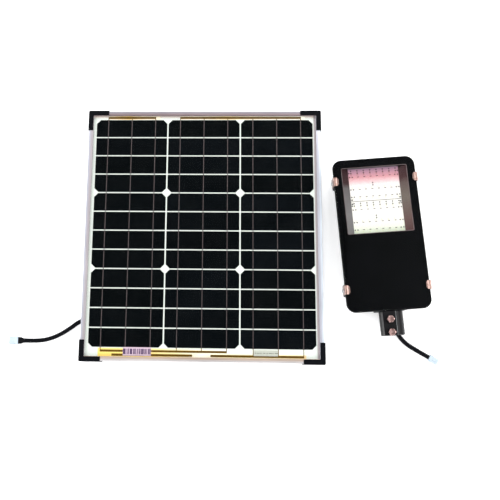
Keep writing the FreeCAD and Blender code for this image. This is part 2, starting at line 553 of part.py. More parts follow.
def housing():
    """The cast back of the head: fins, walls, a seat for the gasket, lugs, posts and bosses."""
    shell = tapered(FIN_H, HEAD_RIM_Z, 0)
    hollow = tapered(FLOOR_TOP, HEAD_RIM_Z - RIM_H, HEAD_WALL)
    mouth = slab(HEAD_W - 2 * RIM_W, HEAD_L - 2 * RIM_W, HEAD_ROUND - RIM_W / 2,
                 HEAD_RIM_Z - RIM_H - 0.01, HEAD_RIM_Z + THROUGH)
    body = shell.cut(hollow).cut(mouth)
    adds = []
    half_back, half_run = HEAD_W / 2 - HEAD_TAPER - 6, HEAD_L / 2 - HEAD_TAPER - 6
    for k in range(FIN_COUNT):
        x = -half_back + FIN_T / 2 + k * (2 * half_back - FIN_T) / (FIN_COUNT - 1)
        adds.append(box(x - FIN_T / 2, x + FIN_T / 2, -half_run, half_run, 0, FIN_H + 0.5))
    for sx in (-1, 1):
        for sy in (-1, 1):
            adds.append(box(sx * (HEAD_W / 2 - LUG_T), sx * HEAD_W / 2, sy * CLIP_Y - LUG_W / 2,
                            sy * CLIP_Y + LUG_W / 2, HEAD_RIM_Z - LUG_H, HEAD_RIM_Z))
    for x, y in post_places():
        side = math.copysign(1, x)
        adds.append(box(x - side * POST_IN, x + side * POST_OUT, y - POST_W / 2, y + POST_W / 2,
                        FLOOR_TOP - 0.5, LED_PLATE_Z).common(shell))
    for x, y in control_posts():
        adds.append(rod((x, y, FLOOR_TOP - 0.5), (0, 0, 1), CONTROL_UP + 0.5, 3.5))
    half_boss = SOCKET_R + BOSS_SIDE
    adds.append(box(SOCKET_X - half_boss, SOCKET_X + half_boss, SOCKET_Y, SOCKET_Y + BOSS_T,
                    SOCKET_LOW + 2, HEAD_RIM_Z))
    gland_face = SOCKET_Y + GLAND_BOSS_OUT
    adds.append(box(GLAND_X - GLAND_BOSS_W / 2, GLAND_X + GLAND_BOSS_W / 2, gland_face,
                    SOCKET_Y + GLAND_BOSS_IN, FIN_H, SOCKET_LOW + 3))
    body = body.fuse(adds)
    holes = [rod((GLAND_X, gland_face - THROUGH, GLAND_Z), (0, 1, 0),
                 GLAND_END - gland_face + 2 * THROUGH, GLAND_THREAD_R + FIT)]
    for x, z in socket_screw_places():
        holes.append(rod((x, SOCKET_Y - THROUGH, z), (0, 1, 0), BOSS_T + 2 * THROUGH,
                         SOCKET_SCREW_R + FIT))
    for x, y in post_places():
        holes.append(rod((x, y, LED_PLATE_Z - M3_L), (0, 0, 1), M3_L + THROUGH, M3_R + FIT))
    for x, y in control_posts():
        holes.append(rod((x, y, FLOOR_TOP), (0, 0, 1), CONTROL_UP + THROUGH, M3_R + FIT))
    for side in (-1, 1):
        for y in (-CLIP_Y, CLIP_Y):
            start = (side * (HEAD_W / 2 + THROUGH), y, clip_screw_z())
            holes.append(rod(start, (-side, 0, 0), CLIP_SCREW_L + 2 * THROUGH,
                             CLIP_SCREW_R + SLIP))
    return body.cut(holes).removeSplitter()


def clip_screw_z():
    return GLASS_TOP + SLIP + CLIP_T - CLIP_SCREW_DOWN


def front_glass():
    less = 2 * LAMP_GLASS_IN
    w, l, r = HEAD_W - less, HEAD_L - less, HEAD_ROUND - LAMP_GLASS_IN
    window = slab(WINDOW_W, WINDOW_L, WINDOW_ROUND, GLASS_LOW - PRINT_T - THROUGH,
                  GLASS_LOW + THROUGH, (0, WINDOW_Y))
    printed = slab(w - 0.4, l - 0.4, r - 0.2, GLASS_LOW - PRINT_T, GLASS_LOW).cut(window)
    edge = RIM_W - GASKET_W
    return {
        "lamp_glass": slab(w, l, r, GLASS_LOW, GLASS_TOP),
        "glass_print": printed,
        "glass_gasket": ring(HEAD_W - edge, HEAD_L - edge, HEAD_ROUND - edge / 2, GASKET_W,
                             HEAD_RIM_Z, HEAD_RIM_Z + GASKET_T),
    }


def m3(x, y, z):
    """A small screw whose head sits on height z."""
    return fused([rod((x, y, z), (0, 0, 1), M3_HEAD_H, M3_HEAD_R),
                  rod((x, y, z - M3_L + 1), (0, 0, 1), M3_L - 1, M3_R)])


def light_unit():
    """The plate with two LED boards, their chips and a reflector on either side."""
    plate_top = LED_PLATE_Z + LED_PLATE_T
    w = HEAD_W / 2 - RIM_W - 2
    plate = box(-w, w, WINDOW_Y - WINDOW_L / 2 - 2, WINDOW_Y + WINDOW_L / 2 + 2, LED_PLATE_Z,
                plate_top)
    for x, y in post_places():
        plate = plate.cut(rod((x, y, LED_PLATE_Z - THROUGH), (0, 0, 1), LED_PLATE_T + 2 * THROUGH,
                              M3_R + FIT))
    parts = {"led_plate": plate}
    for name, low in (("upper", WINDOW_Y + FIT), ("lower", WINDOW_Y - FIT - LED_BOARD_L)):
        parts["led_board_" + name] = box(-LED_BOARD_W / 2, LED_BOARD_W / 2, low,
                                         low + LED_BOARD_L, plate_top, LED_FACE)
        chips = []
        for down in LED_ROWS:
            for k in range(LED_COLUMNS):
                x = (k - (LED_COLUMNS - 1) / 2) * LED_PITCH
                y = low + LED_BOARD_L - down
                chips.append(box(x - LED_W / 2, x + LED_W / 2, y - LED_L / 2, y + LED_L / 2,
                                 LED_FACE, LED_FACE + LED_H))
        parts["led_chips_" + name] = group(chips)
    foot, rim = LED_BOARD_W / 2 + FIT, WINDOW_W / 2 + FIT
    high, low = HEAD_RIM_Z + GASKET_T - 2 * FIT, LED_FACE + FIT
    for name, side in (("left", -1), ("right", 1)):
        section = [(foot, low), (rim, high - REFLECTOR_T), (rim + 4, high - REFLECTOR_T),
                   (rim + 4, high), (rim - 0.4, high), (foot, low + REFLECTOR_T)]
        points = [(side * x, WINDOW_Y - WINDOW_L / 2, z) for x, z in section]
        parts["reflector_" + name] = prism(points, WINDOW_L, (0, 1, 0))
    return parts


def battery():
    """Two rows of round cells end to end in a tray, with joining strips and a strap."""
    z = FLOOR_TOP + TRAY_FLOOR + BATTERY_R
    xs = [(k - (BATTERY_COLUMNS - 1) / 2) * BATTERY_PITCH for k in range(BATTERY_COLUMNS)]
    half = xs[-1] + BATTERY_R + TRAY_SIDE
    run = BATTERY_L + BATTERY_GAP
    tray = box(-half, half, -run, run, FLOOR_TOP, FLOOR_TOP + TRAY_H)
    for x in xs:
        tray = tray.cut(rod((x, -run - THROUGH, z), (0, 1, 0), 2 * (run + THROUGH),
                            BATTERY_R + FIT / 2))
    cells = [rod((x, y, z), (0, 1, 0), BATTERY_L, BATTERY_R)
             for x in xs for y in (BATTERY_GAP / 2, -BATTERY_GAP / 2 - BATTERY_L)]
    links = [box(xs[0] - 6, xs[-1] + 6, y - LINK_T / 2, y + LINK_T / 2, z - 4, z + 4)
             for y in (-run + BATTERY_GAP / 2 - LINK_T, 0, run - BATTERY_GAP / 2 + LINK_T)]
    top = z + BATTERY_R + FIT
    strap = box(-half - STRAP_T - FIT, half + STRAP_T + FIT, -STRAP_W / 2, STRAP_W / 2,
                FLOOR_TOP, top + STRAP_T)
    strap = strap.cut(box(-half - FIT, half + FIT, -STRAP_W, STRAP_W, FLOOR_TOP - THROUGH, top))
    return {"battery_tray": tray, "battery_cells": group(cells), "battery_links": group(links),
            "battery_strap": strap}


def controller():
    """The charge controller's board with its larger components, and the wires in the head."""
    z = FLOOR_TOP + CONTROL_UP
    top = z + BOARD_T
    w, l = CONTROL_W / 2, CONTROL_L / 2
    board = box(-w, w, CONTROL_Y - l, CONTROL_Y + l, z, top)
    for x, y in control_posts():
        board = board.cut(rod((x, y, z - THROUGH), (0, 0, 1), BOARD_T + 2 * THROUGH, M3_R + FIT))
    y = CONTROL_Y
    parts = [rod((-28, y + 4, top), (0, 0, 1), 12, 8), rod((-8, y + 8, top), (0, 0, 1), 14, 5),
             rod((6, y + 8, top), (0, 0, 1), 14, 5), box(-4, 8, y - 12, y - 2, top, top + 1.8),
             box(16, 38, y - 2, y + 10, top, top + 9), box(-38, -16, y - 18, y - 8, top, top + 9)]
    end = -BATTERY_L - BATTERY_GAP
    battery_z = FLOOR_TOP + TRAY_FLOOR + BATTERY_R
    over = top + 9 + 1.5 * WIRE_R
    wires = [[(x, end - 1.0, battery_z), (x, end - 6, battery_z + 3),
              (x + 0.5, y + 15, over + 3), (x + 1, y + 7, over)] for x in (20, 27)]
    wires += [[(GLAND_X - s * 2.5, GLAND_END + 1.6, GLAND_Z + 1),
               (GLAND_X - s * 3, GLAND_END + 4, 25),
               (GLAND_X - s * 3 - 6, y - CONTROL_L / 2 + 2, over + 1), (-20 - s * 3, y - 13, over)]
              for s in (-1, 1)]
    cords = [tube(route, WIRE_R) for route in wires]
    return {"controller_board": board, "controller_parts": group(parts),
            "lamp_wires": group(cords)}


def screws():
    fixed = [m3(x, y, LED_PLATE_Z + LED_PLATE_T) for x, y in post_places()]
    fixed += [m3(x, y, FLOOR_TOP + CONTROL_UP + BOARD_T) for x, y in control_posts()]
    return group(fixed)


def bolt_places():
    """Down the socket from the head's end, as y in the lamp's frame."""
    return [SOCKET_Y - BOLT_FIRST, SOCKET_Y - BOLT_FIRST - BOLT_PITCH]


def pole_socket():
    """A blind tube for the pole's end, with a flat pad for the clamp bolts."""
    centre = (SOCKET_X, SOCKET_Y, SOCKET_Z)
    body = fused([rod(centre, (0, -1, 0), SOCKET_L, SOCKET_R),
                  box(BOLT_X - PAD_W / 2, BOLT_X + PAD_W / 2, SOCKET_Y, SOCKET_Y - SOCKET_L,
                      SOCKET_Z, PAD_TOP)])
    cuts = [rod((SOCKET_X, SOCKET_Y - SOCKET_END, SOCKET_Z), (0, -1, 0), SOCKET_L, BORE_R)]
    cuts += [rod((BOLT_X, y, SOCKET_Z), (0, 0, 1), PAD_TOP, BOLT_R + SLIP) for y in bolt_places()]
    cuts += [rod((x, SOCKET_Y + THROUGH, z), (0, -1, 0), SOCKET_SCREW_BITE + THROUGH,
                 SOCKET_SCREW_R + FIT / 2) for x, z in socket_screw_places()]
    return body.cut(cuts)


def bore_top():
    """How high the bore's wall is over the edge of the clamp bolts nearest its axis."""
    near = max(abs(SOCKET_X - BOLT_X) - BOLT_R, 0)
    return SOCKET_Z + math.sqrt(BORE_R ** 2 - near ** 2)


def clamp_bolt(y):
    """A hexagon bolt, backed off until its tip is level with the bore's wall."""
    seat = PAD_TOP + BOLT_LIFT
    low = bore_top() + 0.3
    return fused([hexagon((BOLT_X, y, seat), (0, 0, 1), BOLT_HEAD_AF, BOLT_HEAD_H),
                  rod((BOLT_X, y, low), (0, 0, 1), seat - low, BOLT_R)])


def socket_screws():
    inner = SOCKET_Y + BOSS_T
    length = BOSS_T + SOCKET_SCREW_BITE - 0.5
    return group([fused([rod((x, inner, z), (0, 1, 0), 3.0, 4.2),
                         rod((x, inner, z), (0, -1, 0), length, SOCKET_SCREW_R)])
                  for x, z in socket_screw_places()])


def lamp_gland():
    face = SOCKET_Y + GLAND_BOSS_OUT
    nose = face - LAMP_ROUTE[0][1]
    return fused([hexagon((GLAND_X, face, GLAND_Z), (0, -1, 0), GLAND_AF, GLAND_NUT),
                  rod((GLAND_X, face, GLAND_Z), (0, -1, 0), nose, GLAND_AF / 2 - 0.5),
                  rod((GLAND_X, face, GLAND_Z), (0, 1, 0), GLAND_END - face, GLAND_THREAD_R)])


def clip(side, y):
    """A bent spring clip: a leg beside the head and a pointed tab over the glass."""
    low, high = GLASS_TOP + SLIP, GLASS_TOP + SLIP + CLIP_T
    inner, outer = HEAD_W / 2 + SLIP, HEAD_W / 2 + SLIP + CLIP_T
    tip = HEAD_W / 2 - CLIP_REACH
    half = CLIP_L / 2
    tab = prism([(side * outer, y - half, low), (side * outer, y + half, low),
                 (side * (tip + CLIP_TIP), y + half, low), (side * tip, y + half - CLIP_TIP, low),
                 (side * tip, y - half + CLIP_TIP, low), (side * (tip + CLIP_TIP), y - half, low)],
                CLIP_T, (0, 0, 1))
    leg = box(side * inner, side * outer, y - half, y + half, high - CLIP_LEG, high)
    groove_x = side * (tip + (outer - tip) / 2)
    groove = box(groove_x - CLIP_GROOVE_W / 2, groove_x + CLIP_GROOVE_W / 2, y - half - THROUGH,
                 y + half + THROUGH, high - CLIP_GROOVE_T, high + THROUGH)
    z = clip_screw_z()
    hole = rod((side * (outer + THROUGH), y, z), (-side, 0, 0), CLIP_T + 2 * THROUGH,
               CLIP_SCREW_R + SLIP)
    plate = fused([tab, leg]).cut(groove).cut(hole)
    screw = fused([rod((side * outer, y, z), (side, 0, 0), CLIP_HEAD_H, CLIP_HEAD_R),
                   rod((side * outer, y, z), (-side, 0, 0), CLIP_SCREW_L, CLIP_SCREW_R)])
    return plate, screw


def lamp():
    parts = {"lamp_housing": housing()}
    parts.update(front_glass())
    parts.update(light_unit())
    parts.update(battery())
    parts.update(controller())
    upper, lower = bolt_places()
    parts.update({
        "m3_screws": screws(),
        "pole_socket": pole_socket(),
        "pole_socket_screws": socket_screws(),
        "lamp_gland": lamp_gland(),
        "lamp_lead": tube(LAMP_ROUTE, LEAD_D / 2),
        "clamp_bolt_upper": clamp_bolt(upper),
        "clamp_bolt_lower": clamp_bolt(lower),
    })
    parts.update(lamp_plug())
    for side, across in ((-1, "left"), (1, "right")):
        for y, down in ((CLIP_Y, "upper"), (-CLIP_Y, "lower")):
            name = "glass_clip_%s_%s" % (down, across)
            parts[name], parts[name + "_screw"] = clip(side, y)
    return parts


def laid(shape):
    """From the lamp's own frame to its place beside the panel."""
    shape = shape.copy()
    shape.rotate(V(0, 0, 0), V(0, 0, 1), LAMP_TURN)
    shape.translate(V(LAMP_X, LAMP_Y, 0))
    return shape


CORD_PIECES = ("panel_lead", "panel_lead_boot", "panel_connector", "panel_connector_pins",
               "lamp_lead", "lamp_connector")


def main():
    parts = panel()
    parts.update({name: laid(shape) for name, shape in lamp().items()})
    whole = [shape for name, shape in parts.items() if name not in CORD_PIECES]
    bounds = Part.makeCompound(whole).optimalBoundingBox(False)
    shift = V(-(bounds.XMin + bounds.XMax) / 2, -(bounds.YMin + bounds.YMax) / 2, 0)
    print("origin moved by %.4f %.4f, lowest %.4f" % (shift.x, shift.y, bounds.ZMin))
    os.makedirs("parts", exist_ok=True)
    for name, shape in parts.items():
        shape.translate(shift)
        if not shape.isValid() or any(s.Volume <= 0 for s in shape.Solids) or not shape.Solids:
            raise ValueError("bad solid: " + name)
        shape.exportStep("parts/%s.step" % name)
    print(len(parts), "nodes")


main()
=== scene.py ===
import math

import bmesh
import bpy
import numpy as np
from mathutils import Matrix, Vector


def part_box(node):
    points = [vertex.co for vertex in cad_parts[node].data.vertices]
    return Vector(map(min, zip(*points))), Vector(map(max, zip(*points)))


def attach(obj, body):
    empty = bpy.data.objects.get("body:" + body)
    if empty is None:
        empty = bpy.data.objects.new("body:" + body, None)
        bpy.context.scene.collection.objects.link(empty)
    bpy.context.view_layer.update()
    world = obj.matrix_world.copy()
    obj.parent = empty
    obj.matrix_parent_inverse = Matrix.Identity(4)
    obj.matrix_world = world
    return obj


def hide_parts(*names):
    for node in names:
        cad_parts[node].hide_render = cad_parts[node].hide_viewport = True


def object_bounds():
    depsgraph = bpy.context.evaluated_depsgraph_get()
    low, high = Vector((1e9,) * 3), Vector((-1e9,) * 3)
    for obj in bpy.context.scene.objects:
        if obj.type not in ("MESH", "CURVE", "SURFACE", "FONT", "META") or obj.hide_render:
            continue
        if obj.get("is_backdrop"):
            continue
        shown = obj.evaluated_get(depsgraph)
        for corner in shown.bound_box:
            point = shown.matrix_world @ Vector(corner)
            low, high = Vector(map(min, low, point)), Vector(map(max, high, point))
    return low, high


# A solar street lamp as it is delivered: a framed panel and a glass-fronted lamp head that lie
# face up side by side. Shapes are worked out in millimetres and become metres in piece().

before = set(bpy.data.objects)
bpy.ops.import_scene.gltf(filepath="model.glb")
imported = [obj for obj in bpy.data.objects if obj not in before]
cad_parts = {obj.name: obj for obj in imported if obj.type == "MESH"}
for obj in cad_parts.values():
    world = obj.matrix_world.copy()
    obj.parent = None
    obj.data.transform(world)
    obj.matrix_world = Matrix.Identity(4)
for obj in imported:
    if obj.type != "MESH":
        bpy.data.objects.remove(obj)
cad_low, cad_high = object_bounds()
MM = 0.001


def middle_of(node):
    """The middle of a node's box, in millimetres."""
    low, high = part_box(node)
    return [500 * (a + b) for a, b in zip(low, high)]


def height_of(node):
    """The lowest and highest z of a node, in millimetres."""
    low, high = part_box(node)
    return 1000 * low[2], 1000 * high[2]


FRAME_HALF_X, FRAME_HALF_Y = 253, 271.0
PANEL_X, PANEL_Y = middle_of("panel_glass")[:2]
LAMP_X, LAMP_Y = middle_of("lamp_glass")[:2]
LAMP_TURN = math.radians(4.5)


def on_panel(points):
    """Points of the panel's own frame, moved to its middle."""
    return np.asarray(points, float) + (PANEL_X, PANEL_Y, 0)


def on_lamp(points):
    """Points of the lamp head's own frame, turned by its angle and moved to its middle."""
    x, y, z = np.moveaxis(np.asarray(points, float), -1, 0)
    c, s = math.cos(LAMP_TURN), math.sin(LAMP_TURN)
    return np.stack([LAMP_X + c * x - s * y, LAMP_Y + s * x + c * y, z], -1)


def placed(name, data):
    """A new object in the scene."""
    made = bpy.data.objects.new(name, data)
    bpy.context.scene.collection.objects.link(made)
    return made


# ------------------------------ camera and light

camera = placed("camera", bpy.data.cameras.new("camera"))
camera.data.sensor_width = 36.0
camera.data.lens = 50.4
camera.data.shift_x, camera.data.shift_y = 0.1139, -0.0415
camera.data.clip_start, camera.data.clip_end = 0.05, 50.0
turn = (Matrix.Rotation(math.radians(10.673), 4, "X") @ Matrix.Rotation(math.radians(2.506), 4, "Y")
        @ Matrix.Rotation(math.radians(0.384), 4, "Z"))
camera.matrix_world = Matrix.Translation(((PANEL_X + 44.6) * MM, -0.2689, 1.4991)) @ turn
bpy.context.scene.camera = camera
bpy.context.scene.view_settings.view_transform = "Standard"
bpy.context.scene.cycles.transparent_max_bounces = 32  # the panel has several clear layers


def soft_box(name, place, size, watts):
    """A square soft light that faces the middle of the scene."""
    light = bpy.data.lights.new(name, "AREA")
    light.shape, light.size, light.energy = "SQUARE", size, watts
    lamp = placed(name, light)
    lamp.location = place
    lamp.rotation_euler = (-Vector(place)).to_track_quat("-Z", "Y").to_euler()


for name, place, watts in (("left", (-2.5, 0.3, 2.3), 80), ("right", (2.5, 0.2, 2.3), 80),
                           ("back", (0.2, 2.6, 2.3), 71), ("front", (-0.2, -2.8, 2.3), 71)):
    soft_box("light_" + name, place, 1.9, watts)


# ------------------------------ node materials


def rgb(code):
    """An sRGB hex colour as linear red, green, blue and alpha."""
    part = np.array([int(code[k:k + 2], 16) for k in (1, 3, 5)]) / 255
    linear = np.where(part <= 0.04045, part / 12.92, ((part + 0.055) / 1.055) ** 2.4)
    return (*map(float, linear), 1)


def add(tree, kind, inputs=(), **settings):
    """Adds a node: settings are its own properties, and inputs pairs a socket with its value,
    with a hex colour, or with the output that feeds it."""
    node = tree.nodes.new("ShaderNode" + kind)
    for name, value in settings.items():
        setattr(node, name, value)
    for socket, value in dict(inputs).items():
        if isinstance(value, bpy.types.NodeSocket):
            tree.links.new(value, node.inputs[socket])
        else:
            node.inputs[socket].default_value = rgb(value) if isinstance(value, str) else value
    return node


def finish(name, **sockets):
    """A material with a principled shader whose sockets are given: returns it, and the place on
    the object in metres."""
    material = bpy.data.materials.new(name)
    material.use_nodes = True
    tree = material.node_tree
    for socket, value in sockets.items():
        tree.nodes["Principled BSDF"].inputs[socket.replace("_", " ")].default_value = value
    return material, add(tree, "TexCoord").outputs["Object"]


# Each of these adds a node to the tree of the socket that it is given, and returns its output.


def noise(where, size, detail=3, **inputs):
    """A cloudy value whose patches are about size mm across."""
    return add(where.id_data, "TexNoise", {"Vector": where, "Scale": 1000 / size,
                                           "Detail": detail, **inputs}).outputs["Fac"]


def mapped(where, **inputs):
    """The place after a turn, a scale or a shift."""
    return add(where.id_data, "Mapping", {"Vector": where, **inputs}).outputs[0]


def axes(where):
    """The x, y and z of a place."""
    return add(where.id_data, "SeparateXYZ", {0: where}).outputs


def maths(operation, *values):
    """The result of one operation on values."""
    return add(values[0].id_data, "Math", enumerate(values), operation=operation).outputs[0]


def spread(value, low, high, to_low=0.0, to_high=1.0):
    """A value carried from the range low to high into the range to_low to to_high."""
    return add(value.id_data, "MapRange", {"Value": value, "From Min": low, "From Max": high,
                                           "To Min": to_low, "To Max": to_high}).outputs[0]


def blend(share, first, second, kind="MIX"):
    """Two colours mixed by a share."""
    return add(first.id_data, "MixRGB", {0: share, 1: first, 2: second}, blend_type=kind
               ).outputs[0]


def ramp(share, *stops):
    """A colour for each share: stops pair a position with a colour, and go from 0 to 1."""
    node = add(share.id_data, "ValToRGB", {"Fac": share})
    elements = node.color_ramp.elements
    for position, code in stops[1:-1]:
        elements.new(position).color = rgb(code)
    elements[0].color, elements[-1].color = rgb(stops[0][1]), rgb(stops[-1][1])
    return node.outputs[0]


def dress(material, colour, rough=None, height=None, depth=0.0, strength=1.0):
    """Feeds the colour and roughness of a material's shader, and a bump that is depth mm high."""
    tree = material.node_tree
    shader = tree.nodes["Principled BSDF"]
    tree.links.new(colour, shader.inputs["Base Color"])
    if rough:
        tree.links.new(rough, shader.inputs["Roughness"])
    if height:
        bump = add(tree, "Bump", {"Height": height, "Strength": strength,
                                  "Distance": depth * MM})
        tree.links.new(bump.outputs[0], shader.inputs["Normal"])
    return material


def grained(name, light, dark, grain, depth, rough=(0.4, 0.55), patch=40.0, stretch=(1, 1, 1),
            turn_by=0, **sockets):
    """A finish with one grain: light and dark are its colours in large soft patches, grain and
    patch are sizes in millimetres, depth the grain's height in millimetres, rough the range of
    its roughness, and stretch how much longer the grain is along x, y and z."""
    material, where = finish(name, **sockets)
    if turn_by:
        where = mapped(where, Rotation=(0, 0, -turn_by))
    lines = mapped(where, Scale=tuple(1.0 / s for s in stretch))
    fine = noise(lines, grain, 4, Roughness=0.6)
    share = spread(maths("MULTIPLY", fine, noise(where, patch)), 0.12, 0.4)
    return dress(material, ramp(share, (0, dark), (1, light)),
                 spread(fine, 0.3, 0.7, *rough), fine, depth)


def clear(name, tint, index, haze, streak):
    """A see-through layer: transparent, with a surface reflection and a thin haze of dust in soft
    patches of the size streak, in mm. The reflection is the square of (index - 1) over (index +
    1) head on. Twice (index - 1) times the fifth power of how edge-on the surface is seen is
    added to it. It is the same from both sides."""
    material, where = finish(name)
    tree = material.node_tree
    tree.nodes.remove(tree.nodes["Principled BSDF"])
    cloud = noise(where, streak, 5)
    gloss = add(tree, "BsdfGlossy", {
        "Color": "#F4F8FA", "Roughness": spread(cloud, 0, 1, 0.03, 0.12)})
    through = add(tree, "BsdfTransparent", {"Color": tint})
    edge_on = add(tree, "LayerWeight", {"Blend": 0.5}).outputs["Facing"]
    mirror = maths("MULTIPLY_ADD", maths("POWER", edge_on, 5), 2 * (index - 1),
                   ((index - 1) / (index + 1)) ** 2)
    glass = add(tree, "MixShader", {0: mirror, 1: through.outputs[0],
                                    2: gloss.outputs[0]}).outputs[0]
    dust = add(tree, "BsdfDiffuse", {"Color": "#D8D8D4"}).outputs[0]
    whole = add(tree, "MixShader", {0: spread(cloud, 0.45, 0.8, 0, haze),
                                    1: glass, 2: dust}).outputs[0]
    tree.links.new(whole, tree.nodes["Material Output"].inputs["Surface"])
    return material


# Mill-finish aluminium plate: a duller metal with rolling lines, behind the boards.
plate_aluminium = grained("Mill-finish aluminium plate", "#B9B8B8", "#98979A", 1, 0.01,
                          (0.4, 0.6), 30, (1, 20, 1), LAMP_TURN, Metallic=1.0)
# Moulded black polypropylene: a fine spark-eroded grain that breaks up its highlights.
black_polypropylene = grained("Moulded black polypropylene", "#0B0D12", "#050609", 0.9, 0.06,
                              (0.45, 0.62), 18, Specular_IOR_Level=0.05)
# Black PPE of the junction box: a smoother moulding with a soft sheen.
black_ppe = grained("Moulded black PPE", "#1E1F21", "#121314", 1.4, 0.03, (0.34, 0.5), 25)
# Soft black TPE of boots and sleeves: matt, with the drag marks of its mould.
black_tpe = grained("Moulded black TPE", "#0C0D11", "#060709", 1.1, 0.05, (0.6, 0.78), 12,
                    Specular_IOR_Level=0.1)
# Die-cast aluminium under black powder coat: an even orange peel about a millimetre across.
powder_coat = grained("Black powder-coated casting", "#101317", "#07080A", 1.3, 0.05,
                      (0.38, 0.5), 35, Specular_IOR_Level=0.14)
# Sand-cast aluminium under black enamel: a coarser skin that the paint only half fills.
cast_enamel = grained("Black enamelled sand casting", "#131214", "#08070A", 1.8, 0.12,
                      (0.32, 0.48), 14, Specular_IOR_Level=0.16)
# Black silicone of the seals: matt and slightly dusty.
silicone = grained("Black silicone seal", "#242424", "#161616", 0.8, 0.03, (0.65, 0.85), 10)
# White nylon of the plugs: a silky moulding with a cool cast.
white_nylon = grained("Moulded white nylon", "#C0CDD8", "#AFBECB", 1.2, 0.02, (0.36, 0.5), 9,
                      Subsurface_Weight=0.15, Subsurface_Radius=(0.002, 0.0018, 0.0015))
# Black ceramic ink fired on the inside of the lamp's glass: deep, dense and even.
ceramic_ink = grained("Black ceramic ink", "#06070A", "#020304", 0.6, 0.004, (0.3, 0.42), 50,
                       Specular_IOR_Level=0.05)
# Stainless spring strip: warm bright metal, brushed across the strip.
spring_steel = grained("Brushed stainless spring strip", "#C2A79E", "#8C6D64", 0.35, 0.008,
                       (0.24, 0.4), 5, (12, 1, 1), LAMP_TURN, Metallic=1.0)
# Yellow-passivated zinc on the bolts: a bright metal with a coppery cast.
zinc_plate = grained("Passivated zinc plate", "#C8A9A3", "#8E6C69", 0.8, 0.01, (0.24, 0.42), 4,
                     Metallic=1.0)
# Plain zinc plate on the small screws.
plain_zinc = grained("Bright zinc plate", "#C9CACC", "#9FA1A4", 0.6, 0.01, (0.26, 0.42), 4,
                     Metallic=1.0)
# Tinned brass of contacts, terminals and joining strips.
tinned_brass = grained("Tinned brass", "#D2CDBF", "#A9A293", 0.5, 0.006, (0.3, 0.45), 4,
                       Metallic=1.0)
# Inside the lamp and the junction box: dull grey ABS of the battery tray, glossy blue film
# shrunk on the cells, matt epoxy of the diode, mixed dark components, and a silky green board.
grey_abs = grained("Moulded grey ABS", "#4A4B4D", "#3A3B3C", 1, 0.03, (0.45, 0.6), 15)
shrink_film = grained("Blue PVC shrink film", "#23518F", "#1A3F72", 6, 0.08, (0.18, 0.3), 30)
black_epoxy = grained("Moulded black epoxy", "#1C1C1D", "#101011", 0.8, 0.02, (0.4, 0.55), 8)
mixed_parts = grained("Black and sleeved components", "#2A2C30", "#121316", 5, 0.05,
                      (0.3, 0.5), 12)
solder_mask = grained("Green solder mask on glass-epoxy", "#1E5A3A", "#123F28", 0.9, 0.02,
                      (0.25, 0.4), 6, (3, 1, 1), LAMP_TURN)
# Near-black parts and marks on the LED boards, matt and even.
black_solder_mask = grained("Black component bodies", "#1A1A1C", "#0C0C0D", 0.4, 0.01,
                            (0.35, 0.5), 3)

# Solar glass with an anti-reflection coat, so its surface reflects much less than plain glass.
coated_glass = clear("Coated solar glass", "#FBFDFD", 1.12, 0.0015, 45)
# Clear laminating film: cast EVA, which almost disappears once it has melted against the glass.
laminate_film = clear("Clear laminating film", "#FEFEFD", 1.02, 0.001, 30)
# Toughened float glass of the lamp, plain and glossy.
float_glass = clear("Toughened float glass", "#FBFBFA", 1.2, 0.001, 60)


def drawn_aluminium(name, axis, middle, half, outer, inner):
    """Extruded, etched and clear-anodised aluminium: a satin metal with drawn lines along the
    rail. Its colours are painted reflection and shade: one colour on the outer part of the lip,
    which is half mm out from middle, and another on the inner part."""
    material, where = finish(name, Metallic=1.0)
    stretch = (1, 0.025, 1) if axis == "X" else (0.025, 1, 1)
    fine = noise(mapped(where, Scale=stretch), 0.9, 4)
    off = maths("SUBTRACT", axes(where)[axis], middle * MM)
    share = spread(maths("ABSOLUTE", off), (half - 6.5) * MM, (half - 2.5) * MM)
    shade = spread(maths("ADD", fine, noise(where, 80)), 0.7, 1.3, 0.86, 1.06)
    # film carries the lip's painted reflection and shade: the inner colour, and the outer colour on
    # the lip's outer part.
    film = add(material.node_tree, "MixRGB", {0: share, 1: inner, 2: outer}).outputs[0]
    return dress(material, blend(1, film, shade, "MULTIPLY"),
                 spread(fine, 0, 1, 0.38, 0.56), fine, 0.012)


def backsheet():
    """White fluoropolymer film: satin, with a faint mottle, and painted shade in a rosy grey
    beside the right rail and, fainter, under the top one."""
    material, where = finish("White backsheet film", Roughness=0.5)
    x, y = axes(where)[:2]
    film = ramp(noise(where, 70), (0, "#DDE0DF"), (1, "#E9EAE8"))
    # Painted shade: a rosy grey band beside the right rail, and a paler one under the top rail.
    right = spread(x, (PANEL_X + 238.2) * MM, (PANEL_X + 240.2) * MM)
    top = spread(y, (PANEL_Y + 256.5) * MM, (PANEL_Y + 260) * MM)
    rosy = blend(top, film, "#E2CFCD")
    return dress(material, blend(right, rosy, "#B7A9B0"), None,
                 noise(where, 0.8), 0.015)


